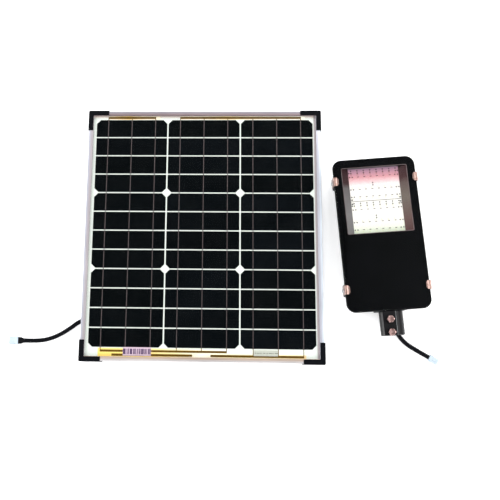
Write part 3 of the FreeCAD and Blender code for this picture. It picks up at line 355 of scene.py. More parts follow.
def silicon_cells():
    """Nitride-coated silicon: near black with a blue cast, each strip a shade of its own, and
    silver fingers across it. Real fingers are 1.3 mm apart and 0.05 mm wide; here they are
    3.25 mm apart and wider, so that they show at all."""
    material, where = finish("Nitride-coated silicon", Roughness=0.28, Specular_IOR_Level=0.04)
    tree = material.node_tree
    pitch_x, pitch_y, finger_pitch = 159, 41.5, 3.25
    grid = mapped(where, Scale=(1000 / pitch_x, 1000 / pitch_y, 0),
                  Location=(-(PANEL_X - 237) / pitch_x, -(PANEL_Y + 253) / pitch_y, 0))
    strip = add(tree, "VectorMath", {0: grid}, operation="FLOOR").outputs[0]
    shade = add(tree, "TexWhiteNoise", {"Vector": strip}, noise_dimensions="3D"
                ).outputs["Value"]
    tone = maths("MULTIPLY", shade, noise(where, 55, 4))
    phase = maths("MULTIPLY", axes(where)[1], 1000 / finger_pitch)
    finger = maths("LESS_THAN", maths("FRACT", phase), 0.07)
    face = ramp(tone, (0, "#020405"), (1, "#070B10"))
    return dress(material, blend(maths("MULTIPLY", finger, 0.16), face, "#3C4148"),
                 None, finger, 0.02, 0.4)


def ribbon_metal(name, low, high):
    """Tinned copper ribbon: bare and coppery outside the heights low and high, in mm, and
    lacquered dull over the cells between them, with solder ripples across it."""
    material, where = finish(name, Metallic=0.75)
    y = axes(where)[1]
    inside = maths("MULTIPLY", spread(y, (low - 1) * MM, (low + 1) * MM),
                   spread(y, (high + 1) * MM, (high - 1) * MM))
    ripple = noise(where, 3)
    bare = ramp(ripple, (0, "#54390E"), (1, "#866320"))
    dull = ramp(ripple, (0, "#463C3D"), (1, "#706466"))
    return dress(material, blend(inside, bare, dull), spread(ripple, 0, 1, 0.35, 0.6),
                 ripple, 0.04)


def amber_film(low):
    """Adhesive insulating tape over the bus ribbons: honey yellow where it is stuck down firmly
    and nearly colourless where it is loose. low is the height, in mm, between its two rows at
    the panel's bottom; each row has its own run of colours, and the top one is pale."""
    material, where = finish("Amber insulating tape", Roughness=0.4)
    x, y = axes(where)[:2]
    band = noise(mapped(where, Scale=(0.15, 1, 1)), 6)
    drift = maths("MULTIPLY_ADD", band, 0.05, x)
    share = spread(drift, (PANEL_X - 195) * MM, (PANEL_X + 245) * MM)
    upper, lower, top = (ramp(share, *stops) for stops in (
        [(0, "#FBD873"), (0.25, "#FADB86"), (0.45, "#FBEBC8"), (0.6, "#F6F1E6"), (1, "#EFEFEA")],
        [(0, "#F9D56C"), (0.28, "#F5CD78"), (0.43, "#F7DFAE"), (0.5, "#F8F2E6"),
         (0.6, "#FAE5B4"), (0.85, "#FAE3AC"), (1, "#EBC894")],
        [(0, "#F8E9DC"), (0.12, "#E6B965"), (0.2, "#F8E6CE"), (0.5, "#F6E6D2"),
         (0.62, "#F3D9A6"), (0.8, "#F8EADB"), (1, "#F6EEE2")]))
    pair = blend(spread(y, (low + 1) * MM, (low - 1) * MM), upper, lower)
    return dress(material, blend(maths("GREATER_THAN", y, 0), pair, top), None,
                 band, 0.05)


def striped_paper(middle):
    """Silvery sticker paper: on the panel's left half it is rosy, with plain upright bars from 1
    to 4 mm wide across its middle, and on its right half it is grey, with a thin broken line.
    middle is the height of the stickers' middle, in mm."""
    material, where = finish("Silvery striped sticker", Roughness=0.5)
    x, y = axes(where)[:2]
    off = maths("ABSOLUTE", maths("SUBTRACT", y, middle * MM))
    bars = noise(mapped(where, Scale=(1, 0, 0)), 2.4, 1)
    dark = maths("LESS_THAN", bars, 0.52)
    mottle = noise(where, 3)
    halves = []
    for reach, ink, light, shade in ((5.6, "#4A2F55", "#D6BCCB", "#BFA0B4"),
                                     (0.8, "#6B6A64", "#C3C2B8", "#A9A89E")):
        inside = maths("LESS_THAN", off, reach * MM)
        halves.append(blend(maths("MULTIPLY", inside, dark),
                            ramp(mottle, (0, shade), (1, light)), ink))
    right = maths("GREATER_THAN", x, PANEL_X * MM)
    return dress(material, blend(right, *halves))


def along_lamp(name, stops, grain, **sockets):
    """A finish whose colour changes along the lamp head: stops pairs a distance up the window
    from its lower edge, as a share of its length, with a colour. A fine grain of that size in
    mm breaks the change up."""
    material, where = finish(name, **sockets)
    own = mapped(where, Rotation=(0, 0, -LAMP_TURN))
    at = -math.sin(LAMP_TURN) * LAMP_X + math.cos(LAMP_TURN) * LAMP_Y
    cloud = noise(own, grain)
    shifted = maths("MULTIPLY_ADD", cloud, 0.008, axes(own)[1])
    share = spread(shifted, (at + 4) * MM, (at + 145.5) * MM)
    return dress(material, ramp(share, *stops), None, cloud, 0.008)


def cord_jacket():
    """Extruded black PVC: satin, with the faint ripple of the extruder along the cord."""
    material, where = finish("Extruded black PVC jacket", Roughness=0.4, Specular_IOR_Level=0.08)
    tree = material.node_tree
    along = add(tree, "Attribute", attribute_name="along").outputs["Fac"]
    drag = add(tree, "TexNoise", {"W": along, "Scale": 1000 / 2, "Detail": 2},
               noise_dimensions="1D").outputs["Fac"]
    both = maths("ADD", drag, noise(where, 1.2))
    share = spread(both, 0.7, 1.3)
    return dress(material, ramp(share, (0, "#05060A"), (1, "#0D0F14")), None, both, 0.03)


def plain_floor():
    """Matt white paper on a light table, which keeps the shadows pale."""
    white = rgb("#FFFFFF")
    return finish("White studio paper", Base_Color=white, Roughness=0.9, Specular_IOR_Level=0.1,
                  Emission_Color=white, Emission_Strength=0.3)[0]


# ------------------------------ making surfaces


def quads(rows, columns, loop=False, tube=True):
    """The faces between neighbouring points of a grid. Its rows run round where loop is true, and
    its columns where tube is."""
    i = np.arange(rows if loop else rows - 1)[:, None]
    j = np.arange(columns if tube else columns - 1)[None, :]
    after, beside = (i + 1) % rows, (j + 1) % columns
    return np.stack([i * columns + j, i * columns + beside, after * columns + beside,
                     after * columns + j], -1).reshape(-1, 4).tolist()


def skin(grid, loop=False):
    """A closed skin over a grid of rows of points: quads between rows, and a flat face over the
    first and the last row unless the rows run round."""
    rows, columns = grid.shape[:2]
    faces = quads(rows, columns, loop)
    if not loop:
        last = (rows - 1) * columns
        faces += [list(range(columns)), list(range(last, last + columns))]
    return grid.reshape(-1, 3), faces


def outline(width, length, radius, steps=8):
    """Points round a rounded rectangle: each corner's centre, plus the radius in every direction
    of its quarter turn. Arrays of sizes give one row for each."""
    width, length, radius = (np.asarray(a, float)[..., None, None] for a in (width, length, radius))
    angle = (np.array([-0.5, 0, 0.5, 1])[:, None] + np.linspace(0, 0.5, steps + 1)) * math.pi
    sx, sy = np.array([[1], [1], [-1], [-1]]), np.array([[-1], [1], [1], [-1]])
    x = sx * (width / 2 - radius) + radius * np.cos(angle)
    y = sy * (length / 2 - radius) + radius * np.sin(angle)
    return np.stack([x, y], -1).reshape(*x.shape[:-2], -1, 2)


def ring_rows(levels, middle=(0, 0), steps=8):
    """Rows of points round rounded rectangles: levels are rows of width, length, radius and
    height, in the order in which the surface passes them."""
    w, l, r, z = np.array(levels, float).T
    flat = outline(w, l, r, steps) + middle
    tall = np.broadcast_to(z[:, None, None], (*flat.shape[:2], 1))
    return np.concatenate([flat, tall], -1)


def stacked(levels, middle=(0, 0), steps=8):
    """A solid between rounded rectangles, given like those of ring_rows."""
    return skin(ring_rows(levels, middle, steps))


def block(x0, x1, y0, y1, z0, z1, edge=0.4):
    """A block with its upper and lower edges softened by edge."""
    w, l, r = abs(x1 - x0), abs(y1 - y0), 1.2 * edge
    return stacked([(w - 2 * edge, l - 2 * edge, r / 2, z0), (w, l, r, z0 + edge),
                    (w, l, r, z1 - edge), (w - 2 * edge, l - 2 * edge, r / 2, z1)],
                   ((x0 + x1) / 2, (y0 + y1) / 2), 3)


def unit(v):
    """Vectors brought to length 1."""
    return v / np.linalg.norm(v, axis=-1, keepdims=True)


def round_angles(count):
    """Angles in equal steps round a full turn."""
    return np.arange(count) * 2 * math.pi / count


def turned(profile, start, axis, steps=48):
    """A solid of revolution: profile rows are radius, distance along the axis, and the width
    across flats, 0 where it is round. The radius is cut to half that width over the cosine of
    the angle from the nearest flat's middle."""
    radius, along, flats = np.array(profile, float).T[..., None]
    w = unit(np.array(axis, float))
    u = unit(np.cross(w, (0, 0, 1) if abs(w[2]) < 0.9 else (1, 0, 0)))
    v = np.cross(w, u)
    angle = round_angles(steps)
    off = (angle + math.pi / 6) % (math.pi / 3) - math.pi / 6
    cut = np.where(flats > 0, flats / 2 / np.cos(off), 1e6)
    r = np.minimum(radius, cut)[..., None]
    grid = (np.array(start, float) + along[..., None] * w
            + r * (np.cos(angle)[:, None] * u + np.sin(angle)[:, None] * v))
    return skin(grid)


def softened(corners, radii, steps=4):
    """A closed outline with its corners rounded: at each, a curve from a point that far before it
    to a point that far after it, bent towards the corner."""
    p = np.array(corners, float)
    reach = np.broadcast_to(np.asarray(radii, float), len(p))[:, None]
    enter = p + unit(np.roll(p, 1, 0) - p) * reach
    leave = p + unit(np.roll(p, -1, 0) - p) * reach
    t = np.linspace(0, 1, steps + 1)[None, :, None]
    curve = (1 - t) ** 2 * enter[:, None] + 2 * t * (1 - t) * p[:, None] + t ** 2 * leave[:, None]
    return curve.reshape(-1, 2)


def repeated(shell, places):
    """One small shell at many places, as a single set of points and faces."""
    points, faces = shell
    places = np.array(places, float)
    many = (places[:, None, :] + points[None]).reshape(-1, 3)
    shift = (np.arange(len(places)) * len(points)).tolist()
    return many, [[k + s for k in face] for s in shift for face in faces]


def piece(name, shells, body, finishes, replaces="", place=None, which=None, bevel=0.0,
          angle=40, thick=0):
    """Makes one object from shells of points in millimetres, which place moves, or else the unit
    that the body belongs to. which gives the finish of each shell, bevel softens edges sharper
    than angle, and thick makes an open sheet a wall."""
    place = place or (on_panel if body == "panel" else on_lamp)
    points, faces, kinds, count = [], [], [], 0
    for number, (p, f) in enumerate(shells):
        points.append(place(p))
        faces += (f if count == 0 else [[k + count for k in face] for face in f])
        kinds += [which[number] if which else 0] * len(f)
        count += len(p)
    mesh = bpy.data.meshes.new(name)
    mesh.from_pydata((np.concatenate(points) * MM).tolist(), [], faces)
    mesh.polygons.foreach_set("material_index", kinds)
    work = bmesh.new()
    work.from_mesh(mesh)
    bmesh.ops.remove_doubles(work, verts=work.verts, dist=1e-6)
    bmesh.ops.recalc_face_normals(work, faces=work.faces)
    work.to_mesh(mesh)
    work.free()
    for material in finishes:
        mesh.materials.append(material)
    mesh.shade_smooth()
    mesh.set_sharp_from_angle(angle=math.radians(angle))
    made = placed(name, mesh)
    if thick:
        wall = made.modifiers.new("wall", "SOLIDIFY")
        wall.thickness, wall.offset = thick * MM, -1.0
    if bevel:
        edge = made.modifiers.new("edge", "BEVEL")
        edge.width, edge.segments = bevel * MM, 2
        edge.limit_method, edge.angle_limit = "ANGLE", math.radians(angle + 8)
    even = made.modifiers.new("even shading", "WEIGHTED_NORMAL")
    even.keep_sharp = True
    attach(made, body)
    if replaces:
        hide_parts(replaces)
    return made


def paint(material, *nodes):
    """Gives CAD nodes a material."""
    for name in nodes:
        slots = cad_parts[name].data.materials
        slots.clear()
        slots.append(material)


# ------------------------------ the two leads

LEAD_D = 7.6
LEAD_LIFT = 2.5  # a flat twin lead lies lower than a round one
SWAY, WAVE = 0.14, 95.0  # how far the twin leads rock, and over what length
JBOX_Y = middle_of("junction_box_lid")[1]
EDGE = PANEL_X - FRAME_HALF_X
PANEL_ROUTE = [(EDGE + x, JBOX_Y + y, z) for x, y, z in (
    (203, 0, middle_of("junction_box_gland")[2]), (175, 2, 16.5), (146, 7, 8.5),
    (112, 18, LEAD_LIFT), (73, 33, LEAD_LIFT), (31, 40, LEAD_LIFT), (-6, 34.5, LEAD_LIFT),
    (-29.5, 16, LEAD_LIFT), (-53, 1.5, LEAD_LIFT), (-77, -7.5, LEAD_LIFT), (-101.5, -10.5, 3.4),
    (-124, -10, 5.2))]
LAMP_ROUTE = [tuple(p) for p in on_lamp([
    (17, -168, 17.5), (17.3, -183, 15.5), (20.5, -198, 9.5), (28.5, -212.5, 3.4),
    (41, -228, 2.6), (62.5, -243.7, 3), (83.4, -257.9, 5.2)])]


def route_points(name, route):
    """The points, in metres, of the smooth spline that has the route as its control points."""
    curve = bpy.data.curves.new(name, "CURVE")
    curve.dimensions = "3D"
    curve.resolution_u = 20
    spline = curve.splines.new("NURBS")
    spline.points.add(len(route) - 1)
    for point, place in zip(spline.points, route):
        point.co = (place[0] * MM, place[1] * MM, place[2] * MM, 1)
    spline.order_u = 3
    spline.use_endpoint_u = True
    holder = placed(name, curve)
    bpy.context.view_layer.update()
    line = bpy.data.meshes.new_from_object(holder)
    points = np.zeros(len(line.vertices) * 3)
    line.vertices.foreach_get("co", points)
    bpy.data.objects.remove(holder)
    return points.reshape(-1, 3)


def twin_lead(name, route, body, node):
    """Two round wires side by side, lying flat. Round the route's line the surface is as far as
    the outline of two overlapping circles: the share of their half spacing along that direction
    plus the root of the wire's radius squared less the square of the half spacing across it. The
    outline rocks by the angle SWAY, as the sine of the distance run over each WAVE."""
    line = route_points(name + "_route", route) / MM
    line = line[np.concatenate([[True], np.linalg.norm(np.diff(line, axis=0), axis=1) > 0.02])]
    run = np.concatenate([[0], np.cumsum(np.linalg.norm(np.diff(line, axis=0), axis=1))])
    ahead = unit(np.gradient(line, run, axis=0))
    side = unit(np.cross(ahead, (0, 0, 1)))
    up = np.cross(side, ahead)
    half, wire = 0.29 * LEAD_D, 0.30 * LEAD_D
    a = round_angles(40)
    far = half * np.abs(np.cos(a)) + np.sqrt(wire ** 2 - (half * np.sin(a)) ** 2)
    turn_at = a[None, :] + SWAY * np.sin(2 * math.pi * run / WAVE)[:, None]
    grid = (line[:, None, :] + far[None, :, None] * (np.cos(turn_at)[..., None] * side[:, None]
                                                     + np.sin(turn_at)[..., None] * up[:, None]))
    lead = piece(name, [skin(grid)], body, [jacket], node, np.asarray, angle=75)
    along = lead.data.attributes.new("along", "FLOAT", "POINT")
    spots = np.zeros(len(lead.data.vertices) * 3)
    lead.data.vertices.foreach_get("co", spots)
    near = np.argmin(((spots.reshape(-1, 1, 3) / MM - line[None]) ** 2).sum(-1), axis=1)
    along.data.foreach_set("value", (run[near] * MM).astype(np.float32))


def headed(start, heading):
    """A mover for shells made up along +Z with their width along x: it lays them down along the
    heading from start, with their width level."""
    c, s = math.cos(heading), math.sin(heading)

    def place(points):
        w, h, far = np.moveaxis(np.asarray(points, float), -1, 0)
        return np.stack([start[0] + c * far - s * w, start[1] + s * far + c * w,
                         start[2] + h], -1)
    return place


jacket = cord_jacket()
panel_end, lamp_end = PANEL_ROUTE[-1], LAMP_ROUTE[-1]
heading = math.atan2(lamp_end[1] - LAMP_ROUTE[-2][1], lamp_end[0] - LAMP_ROUTE[-2][0])

# A ribbed sleeve that widens from the lead to the shell: every second level stands proud.
ribs = np.linspace(0, 13.5, 15)
grow = ribs / 13.5
wider = np.clip((grow - 0.15) / 0.5, 0, 1)
wider = wider * wider * (3 - 2 * wider)
proud = np.where(np.arange(15) % 2 == 0, 0, -0.7) * (grow < 0.85)
boot = piece("panel_lead_boot_moulded", [stacked(
    np.stack([9.4 + 4.6 * wider + proud, 6.8 + 2.4 * wider + proud, 3.2 - 0.6 * wider, ribs], -1))],
    "panel", [black_tpe], "panel_lead_boot", headed(panel_end, math.pi), angle=60)
# The socket shell: outside from the boot to the mouth, then back inside it to the floor.
shell = piece("panel_connector_moulded", [
    stacked([(14.6, 8.2, 2, 13.5), (16.1, 9.6, 2.4, 13.9), (16.5, 10, 2.4, 14.6),
             (16.5, 10, 2.4, 19), (15.7, 9.4, 2.2, 19.5), (15.7, 9.4, 2.2, 21.5),
             (16.5, 10, 2.4, 22), (16.5, 10, 2.4, 32.3), (15.9, 9.4, 2.1, 33),
             (13.5, 7, 1.2, 33), (13.1, 6.6, 1, 32.6), (13.1, 6.6, 1, 22)]),
    ], "panel", [white_nylon], "panel_connector", headed(panel_end, math.pi))
# The plug: a thicker tail with two grip grooves, a nose that fits the mouth, and a latch.
plug = piece("lamp_connector_moulded", [
    stacked([(13, 6.6, 1.6, 0), (14.1, 7.6, 1.8, 0.5), (14.1, 7.6, 1.8, 2),
             (13.3, 6.9, 1.6, 2.3), (13.3, 6.9, 1.6, 3.1), (14.1, 7.6, 1.8, 3.4),
             (14.1, 7.6, 1.8, 6.3), (13.6, 7.1, 1.6, 6.65), (12.8, 6.3, 1, 6.65),
             (12.8, 6.3, 1, 18.4), (12, 5.5, 0.9, 19)]),
    block(-2.2, 2.2, 3.1, 4.3, 6.6, 14.2, 0.3)], "lamp", [white_nylon],
    "lamp_connector", headed(lamp_end, heading))

twin_lead("panel_twin_lead", PANEL_ROUTE, "panel", "panel_lead")
twin_lead("lamp_twin_lead", LAMP_ROUTE, "lamp", "lamp_lead")


# ------------------------------ the panel's frame


def rail_outline():
    """The rail's section as inward distance and height: a grooved outer wall, the lip over the
    glass, the shelf under it, the chamber's inner wall and the rear flange."""
    low, top = height_of("frame_rail_left")
    shelf = height_of("panel_edge_seal")[0] - 0.1
    corners = [(0, low), (25, low), (25, low + 1.4), (11, low + 1.4), (11, shelf), (1.4, shelf),
               (1.4, top - 1.6), (9.5, top - 1.6), (9.5, top), (0, top),
               (0, low + 18.4), (0.5, low + 18), (0.5, low + 17), (0, low + 16.6),
               (0, low + 6.4), (0.5, low + 6), (0.5, low + 5), (0, low + 4.6)]
    radii = [0.5, 0.5, 0.5, 0.4, 0.3, 0.2, 0.2, 0.6, 0.6, 0.8] + [0.15] * 8
    return softened(corners, radii)


def rail(along_x, side):
    """The section carried from mitre to mitre: each of its points runs as far as the frame's half
    length less its own inward distance."""
    section = rail_outline()
    inward, high = section[:, 0], section[:, 1]
    ends = np.array([-1, 1])[:, None]
    half, run = (FRAME_HALF_Y, FRAME_HALF_X) if along_x else (FRAME_HALF_X, FRAME_HALF_Y)
    along = ends * (run - inward)
    across = side * (half - inward) * np.ones_like(ends)
    tall = high * np.ones_like(ends)
    return skin(np.stack([along, across, tall] if along_x else [across, along, tall], -1))


# Each rail gets its own outer and inner colours as painted reflection and shade: the top rail
# darkest, the right rail palest.
for name, along_x, side, outer, inner in (
        ("top", True, 1, "#97939A", "#8D7D80"), ("bottom", True, -1, "#E0DCDC", "#D5BFAE"),
        ("left", False, -1, "#BDBDC7", "#B5ADB1"), ("right", False, 1, "#EBF3FC", "#CDCDD8")):
    aluminium = drawn_aluminium(
        "Anodised aluminium, %s rail" % name,
        *(("Y", PANEL_Y, FRAME_HALF_Y) if along_x else ("X", PANEL_X, FRAME_HALF_X)), outer, inner)
    piece("frame_rail_%s_extruded" % name, [rail(along_x, side)], "panel", [aluminium],
          "frame_rail_" + name)


def corner_cap(sx, sy):
    """A C-shaped section carried round a frame corner. Outward distances from the corner's arc
    centre swing round it, and inward ones run to the mitre."""
    top = height_of("frame_corner_caps")[1]
    section = softened([(2, 0), (2, top), (-9, top), (-9, top - 1.5), (0, top - 1.5), (0, 9),
                        (-9, 9), (-9, 0)], [0.8, 1.3, 0.9, 0.4, 0.3, 0.3, 0.5, 0.6])
    out, high = section[:, 0], section[:, 1]
    angle = np.linspace(90, 0, 9)[:, None] * math.pi / 180
    swing, mitre = np.maximum(out + 1, 0), np.minimum(out + 1, 0)
    x, y = FRAME_HALF_X - 1, FRAME_HALF_Y - 1
    round_x, round_y = x + mitre + swing * np.cos(angle), y + mitre + swing * np.sin(angle)
    reach = 43.0 * np.ones_like(out)
    px = np.concatenate([(FRAME_HALF_X - reach)[None], round_x, (FRAME_HALF_X + out)[None]])
    py = np.concatenate([(FRAME_HALF_Y + out)[None], round_y, (FRAME_HALF_Y - reach)[None]])
    tall = high * np.ones_like(px)
    return skin(np.stack([sx * px, sy * py, tall], -1))


piece("frame_corner_caps_moulded", [corner_cap(sx, sy) for sx in (-1, 1) for sy in (-1, 1)],
      "panel", [black_polypropylene], "frame_corner_caps", bevel=0.5, angle=45)

# The junction box's lid: softened edges, a raised rim and four ribs to grip it by.
lid_low, lid_top = height_of("junction_box_lid")
lid_y = JBOX_Y - PANEL_Y
lid = [stacked([(73.6, 41.6, 3.4, lid_top), (76, 44, 4, lid_top), (76, 44, 4, lid_low + 1),
                (75.2, 43.2, 3.6, lid_low + 0.4), (73, 41, 3, lid_low + 0.3),
                (71, 39, 2.5, lid_low + 0.7)], (0, lid_y))]
lid += [block(x - 1, x + 1, lid_y - 14, lid_y + 14, lid_low, lid_low + 1.2)
        for x in (-24, -20, 20, 24)]
piece("junction_box_lid_moulded", lid, "panel", [black_ppe], "junction_box_lid")

# The corner keys take the right rail's material, with its painted reflection and shade.
paint(aluminium, "frame_corner_keys")
paint(backsheet(), "panel_backsheet")
paint(laminate_film, "panel_rear_film", "panel_front_film")
paint(silicon_cells(), "solar_cells")
cells_low, cells_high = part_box("solar_cells")
paint(ribbon_metal("Tinned copper cell ribbon", 1000 * cells_low[1], 1000 * cells_high[1]),
      "cell_ribbons")
# The bus ribbons: one pair above the cells, and two rows below them, each a flat strip whose
# solder has spread to 4.6 mm.
over, under = 1000 * cells_high[1] - PANEL_Y + 5, 1000 * cells_low[1] - PANEL_Y - 7.5
bus_low, bus_high = height_of("bus_ribbons")
runs = [(-211.8, -106.2, over), (-52.8, 211.8, over), (-211.8, 52.8, under),
        (-187, -19, under - 8), (19, 211.8, under - 8)]
piece("bus_ribbons_flat", [block(x0, x1, y - 2.3, y + 2.3, bus_low, bus_high, 0.05)
                           for x0, x1, y in runs], "panel",
      [ribbon_metal("Tinned copper bus ribbon", -900, -800)], "bus_ribbons")
paint(amber_film(PANEL_Y + under - 4), "insulating_tape")
paint(striped_paper(middle_of("panel_labels")[1]), "panel_labels")
for material, nodes in (
        (coated_glass, "panel_glass"), (black_epoxy, "bypass_diode"),
        (silicone, "panel_edge_seal junction_box_gasket glass_gasket"),
        (black_ppe, "junction_box_base junction_box_gland"),
        (tinned_brass, "junction_box_terminals panel_connector_pins battery_links"),
        (plate_aluminium, "led_plate"), (grey_abs, "battery_tray"), (jacket, "lamp_wires"),
        (plain_zinc, "m3_screws pole_socket_screws battery_strap"),
        (shrink_film, "battery_cells"), (solder_mask, "controller_board"),
        (mixed_parts, "controller_parts"), (ceramic_ink, "glass_print")):
    paint(material, *nodes.split())


# ------------------------------ the lamp head

RIM_Z = height_of("glass_gasket")[0]
GLASS_LOW, GLASS_TOP = height_of("lamp_glass")
HEAD_W, HEAD_L, FIN_H = 172, 320, 10.0
SOCKET_X, SOCKET_Z, SOCKET_R = 5.5, 46, 23.75
BOLT_X, GLAND_X, GLAND_Z = -3, 17, 17.5
WINDOW_W, WINDOW_L, WINDOW_Y = 137.3, 142.3, 71  # the window's size and its middle
CLIP_Y = 113.0
CLIP_OUT, CLIP_TOP = HEAD_W / 2 + 1.25, GLASS_TOP + 1.25  # outer faces of a clip


def head_levels():
    """The casting's section as inset and height, from the middle of its back out and up the
    drafted wall, over the rim, and down inside to the floor."""
    return np.array([(17, FIN_H), (14, FIN_H), (12.6, FIN_H + 0.5), (11.6, FIN_H + 2),
                     (8, 29.3), (4, 48.7), (0.9, 63.6), (0.25, RIM_Z - 1.6),
                     (0.35, RIM_Z - 0.6), (1, RIM_Z), (8.4, RIM_Z), (9, RIM_Z - 0.6),
                     (9, RIM_Z - 8), (4.8, RIM_Z - 8), (8, 45), (14.5, 15), (16, 13)])


def finned(k):
    """One cooling fin: a long bar with rounded ends that thins towards its free edge."""
    x = -66.5 + k * 133.0 / 8
    run = HEAD_L - 36
    return stacked([(2, run - 4, 0.95, 0), (2.5, run - 1.6, 1.2, 0.5), (3.2, run, 1.5, 6),
                    (4.6, run + 1.5, 2.2, FIN_H + 0.3)], (x, 0), 4)


inset, level = head_levels().T
housing = [stacked(np.stack([HEAD_W - 2 * inset, HEAD_L - 2 * inset,
                             np.maximum(19 - 0.5 * inset, 3), level], -1), steps=10),
           *(finned(k) for k in range(9))]
housing += [block(side * (HEAD_W / 2 - 10), side * (HEAD_W / 2 - 0.3), y - 12, y + 12, RIM_Z - 24,
                  RIM_Z - 1.5, 0.8) for side in (-1, 1) for y in (-CLIP_Y, CLIP_Y)]
housing += [block(side * 69, side * 73.2, 71 + k * 60.75 - 4, 71 + k * 60.75 + 4, 12.5, 56)
            for side in (-1, 1) for k in (-1, 0, 1)]
housing += [turned([(0, 12.5, 0), (3.5, 12.5, 0), (3.5, 20.9, 0), (3.4, 21, 0), (0, 21, 0)],
                   (sx * 44, -108 + sy * 19, 0), (0, 0, 1), 16)
            for sx in (-1, 1) for sy in (-1, 1)]
housing += [block(SOCKET_X - 29.75, SOCKET_X + 29.75, -160, -147, 24.25, RIM_Z, 1),
            block(GLAND_X - 9, GLAND_X + 9, -154, -140.5, FIN_H, 25.25, 0.8)]
piece("lamp_housing_cast", housing, "lamp", [powder_coat], "lamp_housing", angle=32)

# The cover glass: a plate with ground edges, which catch a thin line of light all round.
glass_w, glass_l = HEAD_W - 3, HEAD_L - 3
ground = [(1.1, 0), (0.35, 0.25), (0, 0.9), (0, 3.1), (0.35, 3.75), (1.1, 4)]
piece("lamp_glass_ground", [stacked(
    [(glass_w - 2 * e, glass_l - 2 * e, 17.5 - e, GLASS_LOW + z) for e, z in ground], steps=10)],
    "lamp", [float_glass], "lamp_glass", angle=12)


def window_line():
    """A thin frame just under the print: a closed band, 1.5 mm wide and 1.2 mm deep, whose
    rectangular section is carried round the window's outline."""
    edge = GLASS_LOW - 0.15
    outer, inner = (WINDOW_W, WINDOW_L, 3.4), (WINDOW_W - 3, WINDOW_L - 3, 2.2)
    return skin(ring_rows([(*outer, edge), (*inner, edge), (*inner, edge - 1.2),
                           (*outer, edge - 1.2)], (0, WINDOW_Y)), loop=True)


# Pressed aluminium strip round the window: a dull grey line with a rosy tint.
strip_metal = grained("Pressed aluminium window strip", "#84787A", "#584C4F", 0.8, 0.01,
                      (0.4, 0.55), 20, (1, 8, 1), LAMP_TURN, Metallic=0.7)
piece("window_strip", [window_line()], "lamp", [strip_metal])


def clip_sheet(side, y):
    """A bent strip as a grid of distance along it and across it. Along: up the side, round a bend
    of 2.4 mm radius, and in over the glass. Across: full width, narrowing over the last 4 mm. A
    rounded groove crosses the tab, as deep as the square of a cosine."""
    radius, leg, tab = 2.4, 22.6, 8.3
    quarter = radius * math.pi / 2
    s = np.concatenate([np.linspace(0, leg, 6), leg + np.linspace(0.2, 1, 7) * quarter,
                        leg + quarter + np.linspace(0.3, tab, 18)])
    turn_angle = np.clip((s - leg) / radius, 0, math.pi / 2)
    over = np.maximum(s - leg - quarter, 0)
    x = CLIP_OUT - radius * (1 - np.cos(turn_angle)) - over
    z = CLIP_TOP - 25.0 + np.minimum(s, leg) + radius * np.sin(turn_angle)
    groove = 0.75 * np.cos(np.clip((over - 3.4) / 1.6, -1, 1) * math.pi / 2) ** 2
    z = z - groove * (over > 0)
    narrow = np.clip((over - (tab - 4)) / 4, 0, 1)
    half = 9.0 - 3.9 * narrow ** 1.6
    v = np.linspace(-1, 1, 13)
    grid = np.stack([side * x[:, None] * np.ones_like(v), y + half[:, None] * v,
                     z[:, None] * np.ones_like(v)], -1)
    faces = quads(*grid.shape[:2], tube=False)
    return grid.reshape(-1, 3), (faces if side > 0 else [face[::-1] for face in faces])


screw_head = [(0, 0, 0), (3.6, 0, 0), (3.6, 1.2, 0), (3.3, 1.9, 0), (2.6, 2.3, 0), (1.6, 2.4, 0),
              (1.45, 2.4, 2.5), (1.45, 1, 2.5), (0, 0.8, 0)]
for row, low in (("upper", CLIP_Y), ("lower", -CLIP_Y)):
    for hand, side in (("left", -1), ("right", 1)):
        node = "glass_clip_%s_%s" % (row, hand)
        piece(node + "_bent", [clip_sheet(side, low)], node + "_body", [spring_steel],
              node, bevel=0.3, angle=50, thick=1.2)
        start = (side * CLIP_OUT, low, CLIP_TOP - 19)
        shank = [(0, -8, 0), (1.6, -8, 0), (2, -7.5, 0), (2, 0.2, 0), (0, 0.2, 0)]
        piece(node + "_screw_turned", [turned(screw_head, start, (side, 0, 0), 36),
                                       turned(shank, start, (side, 0, 0), 20)], node + "_body",
              [plain_zinc], node + "_screw")


def socket_casting():
    """The pole socket: round the bore's axis the outline is the larger of the tube's radius and
    the distance to the pad's sides and top, eased where they meet, and it is carried from the
    head's end to the open end, over the rim and back down the bore."""
    angle = round_angles(160)
    across, up = np.cos(angle), np.sin(angle)
    top = (RIM_Z + 4 - SOCKET_Z) / np.maximum(up, 1e-3)
    sides = np.where(across > 0, 5, 22) / np.maximum(np.abs(across), 1e-3)
    pad = np.where(up > 0.3, np.minimum(top, sides), 0)
    smooth = np.sqrt((pad - SOCKET_R) ** 2 + 0.5)
    outer = np.where(pad > 0, (pad + SOCKET_R + smooth) / 2, SOCKET_R)
    rows = [(0, 0, 0), (1, -1.2, 0), (1, 0, 1.2), (1, 0, 12), (1, 0, 36), (1, 0, 46.6),
            (1, -0.5, 48.2), (1, -1.8, 49), (0, 21.2, 49), (0, 20, 47.8), (0, 20, 28),
            (0, 20, 8), (0, 0, 8)]
    keep, extra, far = np.array(rows, float).T[..., None]
    radius = keep * outer + extra
    x, z = SOCKET_X + radius * across, SOCKET_Z + radius * up
    y = (-HEAD_L / 2 - far) * np.ones_like(radius)
    return skin(np.stack([x, y, z], -1))


def raised_line(x, z, y0, y1):
    """A low rounded ridge along the casting, where the mould's halves met."""
    return stacked([(0.9, y1 - y0, 0.4, z), (1.1, y1 - y0 - 0.4, 0.5, z + 0.5),
                    (0.5, y1 - y0 - 1.4, 0.2, z + 0.75)], (x, (y0 + y1) / 2), 3)
